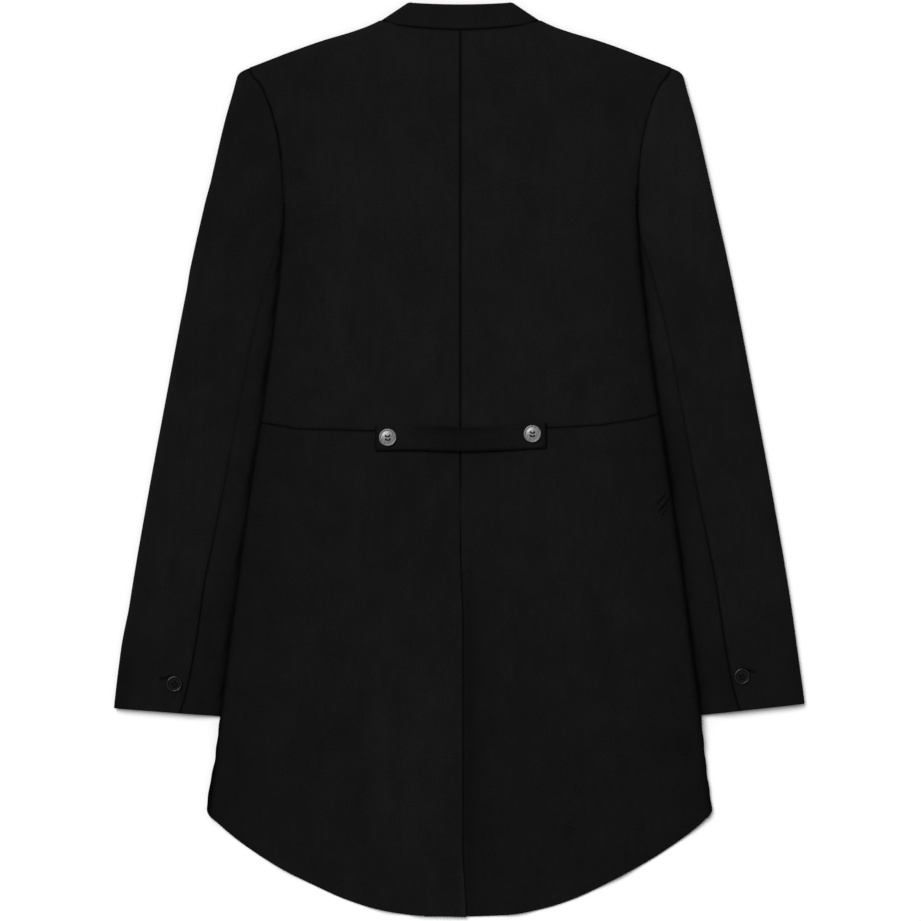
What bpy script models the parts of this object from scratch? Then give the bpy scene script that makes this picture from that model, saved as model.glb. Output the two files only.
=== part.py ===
"""A black wool tail coat with a band collar, a half belt and a centre vent, laid face down.

The back is up. The fronts lie on the floor, the sleeves lie beside and under the body, and the
body's side folds lie on the sleeves. Tables and helpers are in millimetres. "down" is measured
towards the hem from a datum line just above the collar, "out" is the distance from the centre
line on either side, and height is measured from the floor. place() turns these into metres.
"""

import math

import bmesh
import bpy
from mathutils import Matrix, Vector

MM = 0.001
WALL = 2.4
SLEEVE_WALL = 2.2
BELT_WALL = 2.6
# The gap left between two pieces that are sewn together, and between two that lie on each other.
SEAM = 0.3
LAYER_GAP = 0.3
DATUM_TO_MIDDLE = 460.0
LEFT, RIGHT = -1, 1
SIDES = {"left": LEFT, "right": RIGHT}

ARMPIT = 205.0
SIDE_SEAM_TOP = 222.0
SIDE_SEAM_INSET = 45.0
BODY_ROLL = 7.0
SLEEVE_ROLL = 9.0
SLEEVE_ROLL_SHARE = 0.45
SLEEVE_PRESSED = 5.0
SLEEVE_CROWN = 8.2
CAP_CROWN = 9.6
CAP_START = 70.0
CUFF_OUTER = 344.5
CUFF_OUTER_DOWN = 706.0
CUFF_SLANT = 0.098
CUFF_END = 720.0
NECK_OUT = 79.0
FRONT_NECK_OUT = 73.0
NECK_POINT_DOWN = 20.0
FRONT_NECK_DEPTH = 95.0
FRONT_OVERLAP = 10.0
FRONT_OVERLAP_FLAT = 12.0
VENT_START = 556.0
VENT_SLANT = 22.0
VENT_UNDERLAP = 36.0
VENT_OVERHANG = 2.2
VENT_DROP = 3.3
VENT_DROP_RUN = 40.0
VENT_SOFTNESS = 20.0
VENT_ROW = 550.0
# The hem's down halfway round the side fold, and how much lower its upper end is.
HEM_FOLD = 808.5
HEM_FOLD_HALF = 11.5

# Lengths over which one level passes into another.
ARMPIT_ROLL = 3.2
ROLL_GROWTH = 40.0
ARMPIT_BLEND = 2.0
ARMPIT_RISE = 22.0
LIFT_START = 45.0
LIFT_RUN = 33.0
CUFF_CLEAR = 4.0
CUFF_RUN = 40.0
SIDE_START = 85.0
SIDE_RUN = 70.0
OVERLAP_RUN = 22.0
TAIL_START = 20.0
TAIL_RUN = 105.0
SHOULDER_ROUND = 14.0
BESIDE_NECK = 12.0
CAP_ROUND = 16.0
CAP_EDGE = 5.2
CAP_END = 170.0
CAP_RUN = 90.0
PRESS_RUN = 33.0
BESIDE_BODY = 3.0
CROWN_RUN = 26.0
INNER_ROLL = 4.0
BELT_SEAT = 0.5
BELT_FREE = 1.2
BELT_FREE_HALF = 66.0
COLLAR_FREE_OUT = 52.5
COLLAR_FREE_DOWN = 2.4
COLLAR_DIP = 2.0
COLLAR_ROLL = 5.0
COLLAR_FRONT_DEPTH = 86.0
NECK_GAP = 0.6

# The visible outline and seams: out, the distance from the centre line, at each down.
BODY_EDGE = {
    "down": (205, 255, 305, 405, 505, 605, 705, 740, 780, 808, 830),
    "out": (176.5, 180, 185, 198, 213, 226.5, 239, 243, 248, 252, 254.5),
}
ARMHOLE = {
    "down": (66, 74, 85, 95, 115, 145, 175, 205, 222),
    "back": (211.5, 209, 200, 195, 188, 181, 178, 176.5, 176.5),
    "front": (211.2, 207, 195, 187, 174, 161, 151, 140, 132.5),
}
SLEEVE_OUTER = {
    "down": (66, 70, 74, 80, 90, 120, 160, 200, 250, 300, 400, 500, 600, 650, 700, 720),
    "out": (
        210, 218, 222, 224.3, 227, 235.5, 245, 254, 265.5, 276, 295, 313.5, 330.5, 337.5, 344.3, 346.5,
    ),
}
ELBOW_SEAM = {
    "down": (205, 230, 250, 280, 316, 345, 400, 450, 493, 535, 585, 640, 690, 712, 720),
    "out": (176.8, 179, 185, 193.5, 203, 209.5, 220, 229.5, 237.5, 246, 256, 264, 273.5, 280, 283),
}
SLEEVE_UNDER = {
    "down": (205, 222, 240, 270, 300, 400, 500, 600, 720),
    "inner_fold": (145, 138, 130, 122, 120, 138, 160, 182, 210.5),
    "forearm_seam": (150, 155, 150, 144, 142, 160, 182, 204, 232),
}
# The top edge of the back, where the collar is sewn on and then along the shoulder.
SHOULDER = {
    "out": (0, 30, 62, 79, 88.5, 98.5, 110.5, 137.5, 166, 192.5, 208, 212),
    "down": (30, 28.5, 25, 20, 24, 28, 32, 40, 50, 60, 66, 67.5),
}
# The cap's upper end, from the shoulder tip to the outer fold.
CAP_TOP = {
    "out": (150, 205, 211, 216, 221, 226),
    "down": (66.5, 66.8, 67.8, 69.6, 72.6, 77),
}
# The back hem, its rounded corner at the side fold, and the cutaway hem of the fronts under it.
HEM = {
    "out": (0, 43.5, 80.5, 112.5, 154.5, 191, 221, 236.5, 245, 248.5, 252),
    "down": (917.5, 916, 910, 900, 880, 860, 840, 828, 820, 816, 808),
}
CUTAWAY = {
    "out": (-12, 10, 30, 60, 100, 140, 180, 217, 245, 252),
    "down": (556, 580, 612, 645, 681, 714, 746, 775, 797, 803),
}
# The waist seam, across the coat from left to right.
WAIST = {
    "across": (-200, -180, -160, -120, -85, 85, 140, 160, 180, 200),
    "down": (423, 426, 429, 430, 431, 428, 425, 422, 419, 413),
}
BELT = {
    "across": (-85, -44, -20, 2, 30, 64, 86),
    "top": (425, 425.8, 426.4, 427.4, 427, 425, 422.5),
    "bottom": (451, 450.6, 451.6, 452, 451.2, 449.6, 448),
}
# How high the back's underside lies along the centre line and along its side.
LOFT = {
    "down": (20, 60, 110, 175, 215, 300, 430, 720, 768, 830),
    "middle": (7.2, 9.0, 10.8, 11.4, 11.4, 10.4, 8.9, 8.9, 8.9, 8.9),
    "side": (4.0, 5.4, 7.2, 7.2, 11.1, 11.1, 11.1, 11.1, 5.8, 5.8),
}
# Soft ridges of the skirt: where each starts and ends, its half width and its height.
SKIRT_FOLDS = (
    {"side": LEFT, "from": (58, 520), "to": (76, 915), "half_width": 26, "height": 2.6},
    {"side": LEFT, "from": (120, 470), "to": (178, 880), "half_width": 30, "height": 1.8},
    {"side": RIGHT, "from": (40, 500), "to": (58, 912), "half_width": 24, "height": 2.2},
    {"side": RIGHT, "from": (112, 480), "to": (160, 890), "half_width": 30, "height": 2.4},
)
# Buttons: across and down of the centre, and the radius.
BELT_BUTTONS = {"left": (-72.5, 437.4, 8.6), "right": (71.9, 433.8, 8.6)}
CUFF_BUTTONS = {"left": (-285.9, 683.8, 7.8), "right": (281.5, 676.3, 7.8)}
# Turned profiles of the buttons: share of the radius, and height above the underside.
DOMED_PROFILE = {
    "radius": (0.0, 0.88, 1.0, 1.0, 0.955, 0.88, 0.81, 0.755, 0.69, 0.45, 0.0),
    "height": (0.0, 0.0, 0.6, 1.5, 2.28, 2.45, 1.86, 1.36, 1.48, 1.95, 2.15),
}
FLAT_PROFILE = {
    "radius": (0.0, 0.87, 1.0, 1.0, 0.955, 0.88, 0.815, 0.765, 0.7, 0.35, 0.0),
    "height": (0.0, 0.0, 0.6, 1.5, 2.3, 2.5, 2.2, 1.66, 1.5, 1.5, 1.5),
}
BUTTON_SEGMENTS = 24
HOLE_PLACES = ((-2.1, -1.7), (2.1, -1.7), (-2.1, 1.7), (2.1, 1.7))
HOLE_RADIUS = 0.85
HOLE_SEGMENTS = 8
HOLE_MIDDLE = 1.5
HOLE_DEPTH = 6.0

# Each finish, as a shader's values.
WOOL = {"Base Color": (0.008, 0.008, 0.009, 1), "Roughness": 0.9, "Metallic": 0.0}
PEARL = {"Base Color": (0.18, 0.18, 0.185, 1), "Roughness": 0.38, "Metallic": 0.3}
RESIN = {"Base Color": (0.003, 0.003, 0.0035, 1), "Roughness": 0.15, "Metallic": 0.0}

# Columns and rows of the panels. Angles run round a fold, and shares run along a panel.
FOLD_ANGLES = (60, 30, 0, -30, -60)
# Columns keep their distance out up to a fixed one and stretch from there to the panel's limit.
NOMINAL_LIMIT = 180.0
BACK_FIXED = 80.0
FRONT_FIXED = 85.0
VENT_COLUMNS = 30.0
NECK_COLUMNS = (0, 15, 30, 48, 66, 74)
NECK_ANGLES = (8, 25, 42, 58, 72, 82, 90)
BACK_COLUMNS = (*NECK_COLUMNS, 79, 92, 106, 120, 135, 150, 165, 180)
BACK_SKIRT_COLUMNS = (0, 10, 20, 30, 45, 60, 75, 90, 105, 120, 135, 150, 165, 180)
WRAP_SHARES = (0, 0.35, 0.7, 1)
FRONT_COLUMNS = (85, 104, 123, 142, 161, 180)
FRONT_SKIRT_COLUMNS = (-FRONT_OVERLAP, 0, 15, 35, 60, *FRONT_COLUMNS)
SLEEVE_UPPER_SHARES = (0, 0.18, 0.36, 0.52, 0.68, 0.84, 1)
SLEEVE_LOWER_SHARES = (0, 0.3, 0.65, 1)
UNDERSLEEVE_UPPER_SHARES = (0, 0.33, 0.66, 1)
UNDERSLEEVE_LOWER_SHARES = (0, 1)
LONG_ROWS = (0, 0.035, 0.08, 0.15, 0.24, 0.34, 0.45, 0.56, 0.67, 0.78, 0.89, 1)
# How many even rows, or columns for the belt, the other stretches have.
BACK_ROWS = 8
OVER_VENT_ROWS = 5
FRONT_ROWS = 5
FRONT_SKIRT_ROWS = 8
COLLAR_ROWS = 3
BELT_ROWS = 3
BELT_COLUMNS = 22
# Rows that the back, the front and the top sleeve share along the armhole.
ARMHOLE_ROWS = (72, 78, 87, 102, 125, 150, 178, 203, 205)
# Where a column's crossing with an edge is first looked for, and how often it is bettered.
SETTLE_START = 300.0
SETTLE_ROUNDS = 14
# Edges sharper than these angles stay sharp in the shading.
CLOTH_SHARP = math.radians(40)
BUTTON_SHARP = math.radians(35)


def smooth(share):
    """A ramp from 0 to 1 with level ends."""
    share = min(max(share, 0.0), 1.0)
    return share * share * (3 - 2 * share)


def read(table, key, at, column):
    """The table's column at a key, on a smooth curve that doesn't overshoot its rows."""
    keys, values = table[key], table[column]
    if at <= keys[0]:
        return float(values[0])
    if at >= keys[-1]:
        return float(values[-1])
    steps = [b - a for a, b in zip(keys, keys[1:])]
    slopes = [(b - a) / h for a, b, h in zip(values, values[1:], steps)]
    i = max(k for k in range(len(steps)) if keys[k] <= at)

    def tangent(k):
        if k == 0 or k == len(steps):
            return slopes[0] if k == 0 else slopes[-1]
        before, after = slopes[k - 1], slopes[k]
        return 0.0 if before * after <= 0 else 2 * before * after / (before + after)

    h, t = steps[i], (at - keys[i]) / steps[i]
    return (
        values[i] * (1 + 2 * t) * (1 - t) ** 2
        + values[i + 1] * t * t * (3 - 2 * t)
        + h * tangent(i) * t * (1 - t) ** 2
        - h * tangent(i + 1) * t * t * (1 - t)
    )


def rounding(share):
    """A quarter round from 0 at an edge to 1."""
    share = min(max(share, 0.0), 1.0)
    return math.sqrt(1 - (1 - share) ** 2)


def place(side, out, down, height):
    return Vector((side * out, DATUM_TO_MIDDLE - down, height)) * MM


def body_edge(down):
    return read(BODY_EDGE, "down", down, "out")


def body_roll(down):
    """The side fold's depth, which grows from the armpit down."""
    return ARMPIT_ROLL + (BODY_ROLL - ARMPIT_ROLL) * smooth((down - ARMPIT) / ROLL_GROWTH)


def back_limit(down):
    """Where the back's upper layer ends: the armhole, then the start of the side fold."""
    armhole = read(ARMHOLE, "down", down, "back")
    fold_start = body_edge(down) - body_roll(down)
    return armhole + (fold_start - armhole) * smooth((down - ARMPIT) / ARMPIT_BLEND + 1)


def side_seam(down):
    """The seam on the underside, between the back's wrap and the front."""
    return body_edge(down) - SIDE_SEAM_INSET


def sleeve_roll(down):
    """The outer fold's depth, under half of the layer's width where the cap is narrow."""
    return min(SLEEVE_ROLL, SLEEVE_ROLL_SHARE * (sleeve_outer(down) - sleeve_top_edge(down)))


def sleeve_outer(down):
    return read(SLEEVE_OUTER, "down", down, "out")


def sleeve_top_edge(down):
    """The upper layer's inner edge of the top sleeve: the armhole, then the elbow seam."""
    if down < ARMPIT:
        return read(ARMHOLE, "down", down, "back") + SEAM
    return read(ELBOW_SEAM, "down", down, "out")


def sleeve_bottom_edge(down):
    """The lower layer's inner edge of the top sleeve: the armhole, then the forearm seam."""
    if down < ARMPIT:
        return read(ARMHOLE, "down", down, "front") + SEAM
    return read(SLEEVE_UNDER, "down", down, "forearm_seam")


def inner_fold(down):
    return read(SLEEVE_UNDER, "down", down, "inner_fold")


def shoulder_line(out):
    return read(SHOULDER, "out", out, "down")


def front_top(out):
    """The front's upper edge: the neckline, then the shoulder."""
    if out < FRONT_NECK_OUT:
        return NECK_POINT_DOWN + FRONT_NECK_DEPTH * math.sqrt(1 - (max(out, 0) / FRONT_NECK_OUT) ** 2)
    return max(shoulder_line(out), NECK_POINT_DOWN)


def cutaway(out):
    return read(CUTAWAY, "out", out, "down")


def hem_line(out):
    return read(HEM, "out", max(out, 0), "down")


def cap_line(out):
    return read(CAP_TOP, "out", out, "down")


def cuff_line(out):
    return CUFF_OUTER_DOWN + (CUFF_OUTER - out) * CUFF_SLANT


def waist_edge(side, gap):
    """The waist seam as a function of the distance out, moved down by a gap."""
    return lambda out: read(WAIST, "across", side * out, "down") + gap


def over_sleeve(out, down):
    """How far the lower layer is lifted where it lies over the sleeve's hidden part."""
    lift = SLEEVE_PRESSED + LAYER_GAP
    past_cuff = 1 - smooth((down - CUFF_END - CUFF_CLEAR) / CUFF_RUN)
    return lift * smooth((out - inner_fold(down) + LIFT_START) / LIFT_RUN) * past_cuff


def front_level(side, out, down):
    """The underside of a front, which rises over the sleeve and, on the right, over the left front."""
    level = over_sleeve(out, down) * smooth((down - ARMPIT) / ARMPIT_RISE + 0.5)
    if side == RIGHT:
        level += (WALL + LAYER_GAP) * (1 - smooth((out - FRONT_OVERLAP_FLAT) / OVERLAP_RUN))
    return level


def skirt_ridges(side, out, down):
    height = 0.0
    for fold in SKIRT_FOLDS:
        (out_0, down_0), (out_1, down_1) = fold["from"], fold["to"]
        share = (down - down_0) / (down_1 - down_0)
        if fold["side"] != side or share <= 0:
            continue
        aside = abs(out - out_0 - (out_1 - out_0) * share) / fold["half_width"]
        height += fold["height"] * smooth(2 * share) * smooth(1 - aside)
    return height * smooth(out / VENT_COLUMNS)


def tail_share(out, down):
    """0 where the back lies on the fronts, 1 where the tail lies on the floor."""
    return smooth((down - cutaway(max(abs(out), FRONT_OVERLAP)) + TAIL_START) / TAIL_RUN)


def vent_step(side, out, down):
    """How far the right back is lowered where the left one lies on it at the vent."""
    if side == LEFT:
        return 0.0
    step = VENT_DROP * smooth((down - VENT_ROW) / VENT_DROP_RUN + 1)
    return -step * (1 - smooth((out - VENT_OVERHANG) / VENT_SOFTNESS))


def back_level(side, out, down):
    """The underside of the back's upper layer."""
    reach = back_limit(down)
    across = smooth((out - reach + SIDE_START) / SIDE_RUN)
    middle, edge = read(LOFT, "down", down, "middle"), read(LOFT, "down", down, "side")
    level = middle + (edge - middle) * across
    if out > NECK_OUT - BESIDE_NECK:
        lowest = WALL + LAYER_GAP
        rounded = lowest + (level - lowest) * rounding((down - shoulder_line(out)) / SHOULDER_ROUND)
        level += (rounded - level) * smooth((out - NECK_OUT) / BESIDE_NECK + 1)
    step = vent_step(side, out, down)
    floor = -step
    if side == LEFT:
        floor = VENT_DROP * (1 - smooth((out - VENT_UNDERLAP - VENT_OVERHANG) / VENT_SOFTNESS))
    level += (floor - level) * tail_share(out, down)
    return max(level + step + skirt_ridges(side, out, down), 0.0)


def sleeve_height(out, down):
    """The upper surface of a sleeve, pressed flat under the body and crowned beside it."""
    crown = CAP_CROWN + (SLEEVE_CROWN - CAP_CROWN) * smooth((down - CAP_END) / CAP_RUN)
    beside = body_edge(down) if down > ARMPIT else read(ARMHOLE, "down", down, "back")
    from_cap = smooth((down - CAP_END) / PRESS_RUN)
    pressed = from_cap * (1 - smooth((out - beside - BESIDE_BODY) / CROWN_RUN))
    height = crown - (crown - SLEEVE_PRESSED) * pressed
    return CAP_EDGE + (height - CAP_EDGE) * rounding((down - CAP_START) / CAP_ROUND)


def fold_point(end, roll, toward, upper, lower, wall, angle):
    """Outer and inner points round a fold whose outside is at end, as (out, height) pairs."""
    turn, middle, half = math.radians(angle), (upper + lower) / 2, (upper - lower) / 2
    centre = end - toward * roll
    outer = (centre + toward * roll * math.cos(turn), middle + half * math.sin(turn))
    inner = (
        centre + toward * (roll - wall) * math.cos(turn),
        middle + (half - wall) * math.sin(turn),
    )
    return outer, inner


def stretched(column, inner, nominal, limit):
    """A column keeps its distance out as far as inner, and beyond that it stretches to the limit."""
    if column <= inner:
        return column
    return inner + (column - inner) / (nominal - inner) * (limit - inner)


def back_column(side, kind, value):
    """A column of the back or back skirt as a function of down."""

    def start(down):
        """Where the panel begins at the centre: the seam, or the vent's overlap."""
        lap = VENT_OVERHANG if side == LEFT else VENT_UNDERLAP
        return SEAM / 2 - (SEAM / 2 + lap) * smooth((down - VENT_START) / VENT_SLANT)

    def upper(down):
        out = stretched(value, BACK_FIXED, NOMINAL_LIMIT, back_limit(down))
        if value < VENT_COLUMNS:
            out = start(down) + value / VENT_COLUMNS * (VENT_COLUMNS - start(down))
        level = back_level(side, out, down)
        return (out, level + WALL), (out, level)

    def fold(down):
        roll, end = body_roll(down), body_edge(down)
        top = back_level(side, end - roll, down) + WALL
        return fold_point(end, roll, 1, top, over_sleeve(end - roll, down), WALL, value)

    def under(down):
        first, last = body_edge(down) - body_roll(down), side_seam(down) + SEAM / 2
        out = first + (last - first) * value
        level = over_sleeve(out, down)
        return (out, level), (out, level + WALL)

    return {"upper": upper, "fold": fold, "under": under}[kind]


def front_column(side, value):
    """A column of a front or front skirt as a function of down. The overlap has minus values."""

    def lower(down):
        limit = read(ARMHOLE, "down", down, "front") if down < SIDE_SEAM_TOP else side_seam(down)
        out = stretched(value, FRONT_FIXED, NOMINAL_LIMIT, limit - SEAM / 2)
        level = front_level(side, out, down)
        return (out, level), (out, level + WALL)

    return lower


def sleeve_column(kind, value):
    """A column of the top sleeve, from the armhole or elbow seam round the outer fold."""

    def upper(down):
        first, last = sleeve_top_edge(down), sleeve_outer(down) - sleeve_roll(down)
        out = first + (last - first) * value
        height = sleeve_height(out, down)
        return (out, height), (out, height - SLEEVE_WALL)

    def fold(down):
        roll, end = sleeve_roll(down), sleeve_outer(down)
        return fold_point(end, roll, 1, sleeve_height(end - roll, down), 0.0, SLEEVE_WALL, value)

    def lower(down):
        first, last = sleeve_outer(down) - sleeve_roll(down), sleeve_bottom_edge(down)
        out = first + (last - first) * value
        return (out, 0.0), (out, SLEEVE_WALL)

    return {"upper": upper, "fold": fold, "lower": lower}[kind]


def undersleeve_column(kind, value):
    """A column of the undersleeve, from the elbow seam round the inner fold to the forearm seam."""
    roll = INNER_ROLL

    def upper(down):
        first, last = sleeve_top_edge(down) - SEAM, inner_fold(down) + roll
        out = first + (last - first) * value
        height = sleeve_height(out, down)
        return (out, height), (out, height - SLEEVE_WALL)

    def fold(down):
        end = inner_fold(down)
        return fold_point(end, roll, -1, sleeve_height(end + roll, down), 0.0, SLEEVE_WALL, value)

    def lower(down):
        first, last = inner_fold(down) + roll, sleeve_bottom_edge(down) - SEAM
        out = first + (last - first) * value
        return (out, 0.0), (out, SLEEVE_WALL)

    return {"upper": upper, "fold": fold, "lower": lower}[kind]


def settle(edge, column):
    """The down at which a column reaches an edge that is given by its distance out."""
    down = SETTLE_START
    for _ in range(SETTLE_ROUNDS):
        down = edge(column(down)[0][0])
    return down


def grid(side, columns, stages):
    """Rows of outer and inner points. Each stage has a start and an end down for each column."""
    rows = []
    for number, stage in enumerate(stages):
        shares = stage["shares"][1:] if number else stage["shares"]
        for share in shares:
            row = []
            for column, ends in zip(columns, stage["ends"]):
                if ends is None:
                    row.append(None)
                    continue
                down = ends[0] + (ends[1] - ends[0]) * share
                row.append(tuple(place(side, out, down, height) for out, height in column(down)))
            rows.append(row)
    return rows


def even(count):
    return [i / count for i in range(count + 1)]


def armhole_shares(ends, rows):
    """Shares that put rows of a panel's last column at the rows of the armhole."""
    top, bottom = ends
    return [0] + [(row - top) / (bottom - top) for row in rows]


def add_object(name, mesh, finish):
    """An object with a material of its own."""
    material = bpy.data.materials.new(name)
    material.use_nodes = True
    shader = material.node_tree.nodes["Principled BSDF"]
    for key, value in finish.items():
        shader.inputs[key].default_value = value
    mesh.materials.append(material)
    piece = bpy.data.objects.new(name, mesh)
    bpy.context.scene.collection.objects.link(piece)
    return piece


def cloth(name, rows):
    """A closed wall between the outer and inner points. A cell is made where its corners exist."""
    bm = bmesh.new()
    made = [[pair and tuple(bm.verts.new(p) for p in pair) for pair in row] for row in rows]
    edges = {}
    for upper, lower in zip(made, made[1:]):
        for a, b, c, d in zip(upper, upper[1:], lower[1:], lower):
            if not (a and b and c and d):
                continue
            bm.faces.new([v[0] for v in (a, b, c, d)])
            bm.faces.new([v[1] for v in (d, c, b, a)])
            for start, end in ((a, b), (b, c), (c, d), (d, a)):
                edges[(start, end)] = True
    for start, end in edges:
        if (end, start) not in edges:
            bm.faces.new((start[1], end[1], end[0], start[0]))
    loose = [v for v in bm.verts if not v.link_faces]
    bmesh.ops.delete(bm, geom=loose, context="VERTS")
    bmesh.ops.recalc_face_normals(bm, faces=bm.faces)
    bmesh.ops.triangulate(bm, faces=bm.faces)
    mesh = bpy.data.meshes.new(name)
    bm.to_mesh(mesh)
    bm.free()
    mesh.shade_smooth()
    mesh.set_sharp_from_angle(angle=CLOTH_SHARP)
    add_object(name, mesh, WOOL)


def back_kinds(columns):
    """The kind and value of each column of a back or back skirt, from the centre to the side seam."""
    kinds = [("upper", v) for v in columns] + [("fold", v) for v in FOLD_ANGLES]
    return kinds + [("under", v) for v in WRAP_SHARES]


def make_backs():
    """The two backs: from the collar and shoulder down to the waist, wrapped under at the side."""
    for word, side in SIDES.items():
        kinds = back_kinds(BACK_COLUMNS)
        columns = [back_column(side, *kind) for kind in kinds]
        above, below = [], []
        for (kind, value), column in zip(kinds, columns):
            waist = settle(waist_edge(side, -SEAM / 2), column)
            if kind == "upper":
                above.append((settle(shoulder_line, column), ARMPIT))
                below.append((ARMPIT, waist))
            else:
                start = ARMPIT + (SIDE_SEAM_TOP - ARMPIT) * (value if kind == "under" else 0)
                above.append(None)
                below.append((start, waist))
        shares = armhole_shares(above[len(BACK_COLUMNS) - 1], ARMHOLE_ROWS)
        stages = [{"shares": shares, "ends": above}, {"shares": even(BACK_ROWS), "ends": below}]
        rows = grid(side, columns, stages)
        join = len(shares) - 1
        rows[join] = grid(side, columns, [{"shares": [0], "ends": below}])[0]
        cloth(f"back_{word}", rows)


def make_back_skirts():
    """The two back skirts, from the waist to the hem, with the vent's overlap at the centre."""
    for word, side in SIDES.items():
        kinds = back_kinds(BACK_SKIRT_COLUMNS)
        columns = [back_column(side, *kind) for kind in kinds]
        over_vent, past_vent = [], []
        for (kind, value), column in zip(kinds, columns):
            waist = settle(waist_edge(side, SEAM / 2), column)
            if kind == "upper":
                hem = settle(hem_line, column)
            elif kind == "fold":
                hem = HEM_FOLD + HEM_FOLD_HALF * value / 90
            else:
                hem = settle(cutaway, column)
            over_vent.append((waist, VENT_ROW))
            past_vent.append((VENT_ROW, hem))
        stages = [
            {"shares": even(OVER_VENT_ROWS), "ends": over_vent},
            {"shares": LONG_ROWS, "ends": past_vent},
        ]
        cloth(f"back_skirt_{word}", grid(side, columns, stages))


def neck_columns():
    """Columns of the fronts: the overlap, even angles along the neckline, then to the armhole."""
    return [-FRONT_OVERLAP, 0] + [FRONT_NECK_OUT * math.sin(math.radians(a)) for a in NECK_ANGLES]


def make_fronts():
    """The two fronts, from the neckline and shoulder to the waist. They lie on the floor."""
    for word, side in SIDES.items():
        columns = [front_column(side, v) for v in (*neck_columns(), *FRONT_COLUMNS)]
        above, below = [], []
        for column in columns:
            above.append((settle(front_top, column), SIDE_SEAM_TOP))
            below.append((SIDE_SEAM_TOP, settle(waist_edge(side, -SEAM / 2), column)))
        shares = armhole_shares(above[-1], (*ARMHOLE_ROWS, SIDE_SEAM_TOP))
        stages = [{"shares": shares, "ends": above}, {"shares": even(FRONT_ROWS), "ends": below}]
        cloth(f"front_{word}", grid(side, columns, stages))


def make_front_skirts():
    """The two front skirts, from the waist to the cutaway hem."""
    for word, side in SIDES.items():
        columns = [front_column(side, v) for v in FRONT_SKIRT_COLUMNS]
        ends = []
        for column in columns:
            ends.append((settle(waist_edge(side, SEAM / 2), column), settle(cutaway, column)))
        stages = [{"shares": even(FRONT_SKIRT_ROWS), "ends": ends}]
        cloth(f"front_skirt_{word}", grid(side, columns, stages))


def make_sleeves():
    """A top sleeve and an undersleeve on each side, open at the armhole and the cuff."""
    for word, side in SIDES.items():
        kinds = [("upper", v) for v in SLEEVE_UPPER_SHARES] + [("fold", v) for v in FOLD_ANGLES]
        kinds += [("lower", v) for v in SLEEVE_LOWER_SHARES]
        columns = [sleeve_column(*kind) for kind in kinds]
        cap = [(settle(cap_line, column), ARMPIT) for column in columns]
        arm = [(ARMPIT, settle(cuff_line, column)) for column in columns]
        cap_shares = armhole_shares(cap[0], ARMHOLE_ROWS)
        stages = [{"shares": cap_shares, "ends": cap}, {"shares": LONG_ROWS, "ends": arm}]
        cloth(f"sleeve_top_{word}", grid(side, columns, stages))

        kinds = [("upper", v) for v in UNDERSLEEVE_UPPER_SHARES] + [("fold", v) for v in FOLD_ANGLES]
        kinds += [("lower", v) for v in UNDERSLEEVE_LOWER_SHARES]
        columns = [undersleeve_column(*kind) for kind in kinds]
        ends = [(ARMPIT, settle(cuff_line, column)) for column in columns]
        cloth(f"sleeve_under_{word}", grid(side, columns, [{"shares": LONG_ROWS, "ends": ends}]))


def collar_sections():
    """Sections of the band collar from the left front end, over the back, to the right one.

    Each has the side, the sewn edge and the free edge as (out, down), and outer and inner heights.
    """
    roll = COLLAR_ROLL
    back_bottom = read(LOFT, "down", shoulder_line(0), "middle")
    back = {"outer": back_bottom + WALL, "inner": back_bottom}
    half = []
    for out in NECK_COLUMNS:
        share = out / NECK_OUT
        sewn = (out, shoulder_line(out) - SEAM)
        free = (COLLAR_FREE_OUT * share, COLLAR_FREE_DOWN + COLLAR_DIP * (1 - share * share))
        half.append({"sewn": sewn, "free": free, **back})
    for angle in FOLD_ANGLES:
        turn = math.radians(angle)
        outer, inner = fold_point(NECK_OUT, roll, 1, back["outer"], 0.0, WALL, angle)
        slip = roll * (1 - math.cos(turn))
        half.append({
            "sewn": (outer[0], shoulder_line(outer[0]) - SEAM),
            "free": (COLLAR_FREE_OUT - slip, COLLAR_FREE_DOWN),
            "outer": outer[1],
            "inner": inner[1],
            "in_by": outer[0] - inner[0],
        })
    for angle in reversed(NECK_ANGLES):
        turn = math.radians(angle)
        sewn = (
            (FRONT_NECK_OUT - NECK_GAP) * math.sin(turn),
            NECK_POINT_DOWN - NECK_GAP + (FRONT_NECK_DEPTH - NECK_GAP) * math.cos(turn),
        )
        free = (
            (COLLAR_FREE_OUT - roll) * math.sin(turn),
            COLLAR_FREE_DOWN + COLLAR_FRONT_DEPTH * math.cos(turn),
        )
        half.append({"sewn": sewn, "free": free, "outer": 0.0, "inner": WALL})
    return half


def make_collar():
    """The band collar, a flattened ring that is open at the centre front."""
    half = collar_sections()
    walk = [(LEFT, s) for s in reversed(half)] + [(RIGHT, s) for s in half[1:]]
    rows = []
    for share in even(COLLAR_ROWS):
        row = []
        for side, section in walk:
            sewn, free = section["sewn"], section["free"]
            out = sewn[0] + (free[0] - sewn[0]) * share
            down = sewn[1] + (free[1] - sewn[1]) * share
            lift = front_level(side, out, down) if section["outer"] == 0.0 else 0.0
            inner_out = out - section.get("in_by", 0.0)
            row.append((
                place(side, out, down, section["outer"] + lift),
                place(side, inner_out, down, section["inner"] + lift),
            ))
        rows.append(row)
    cloth("collar", rows)


def back_surface(across, down):
    """The height of the back's upper surface."""
    side = RIGHT if across > 0 else LEFT
    return back_level(side, abs(across), down) + WALL


def belt_underside(across, down):
    """The belt lies on the back at its ends and stands a little free between its buttons."""
    free = BELT_FREE * max(0.0, 1 - (across / BELT_FREE_HALF) ** 2)
    return back_surface(across, down) + BELT_SEAT + free


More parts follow.
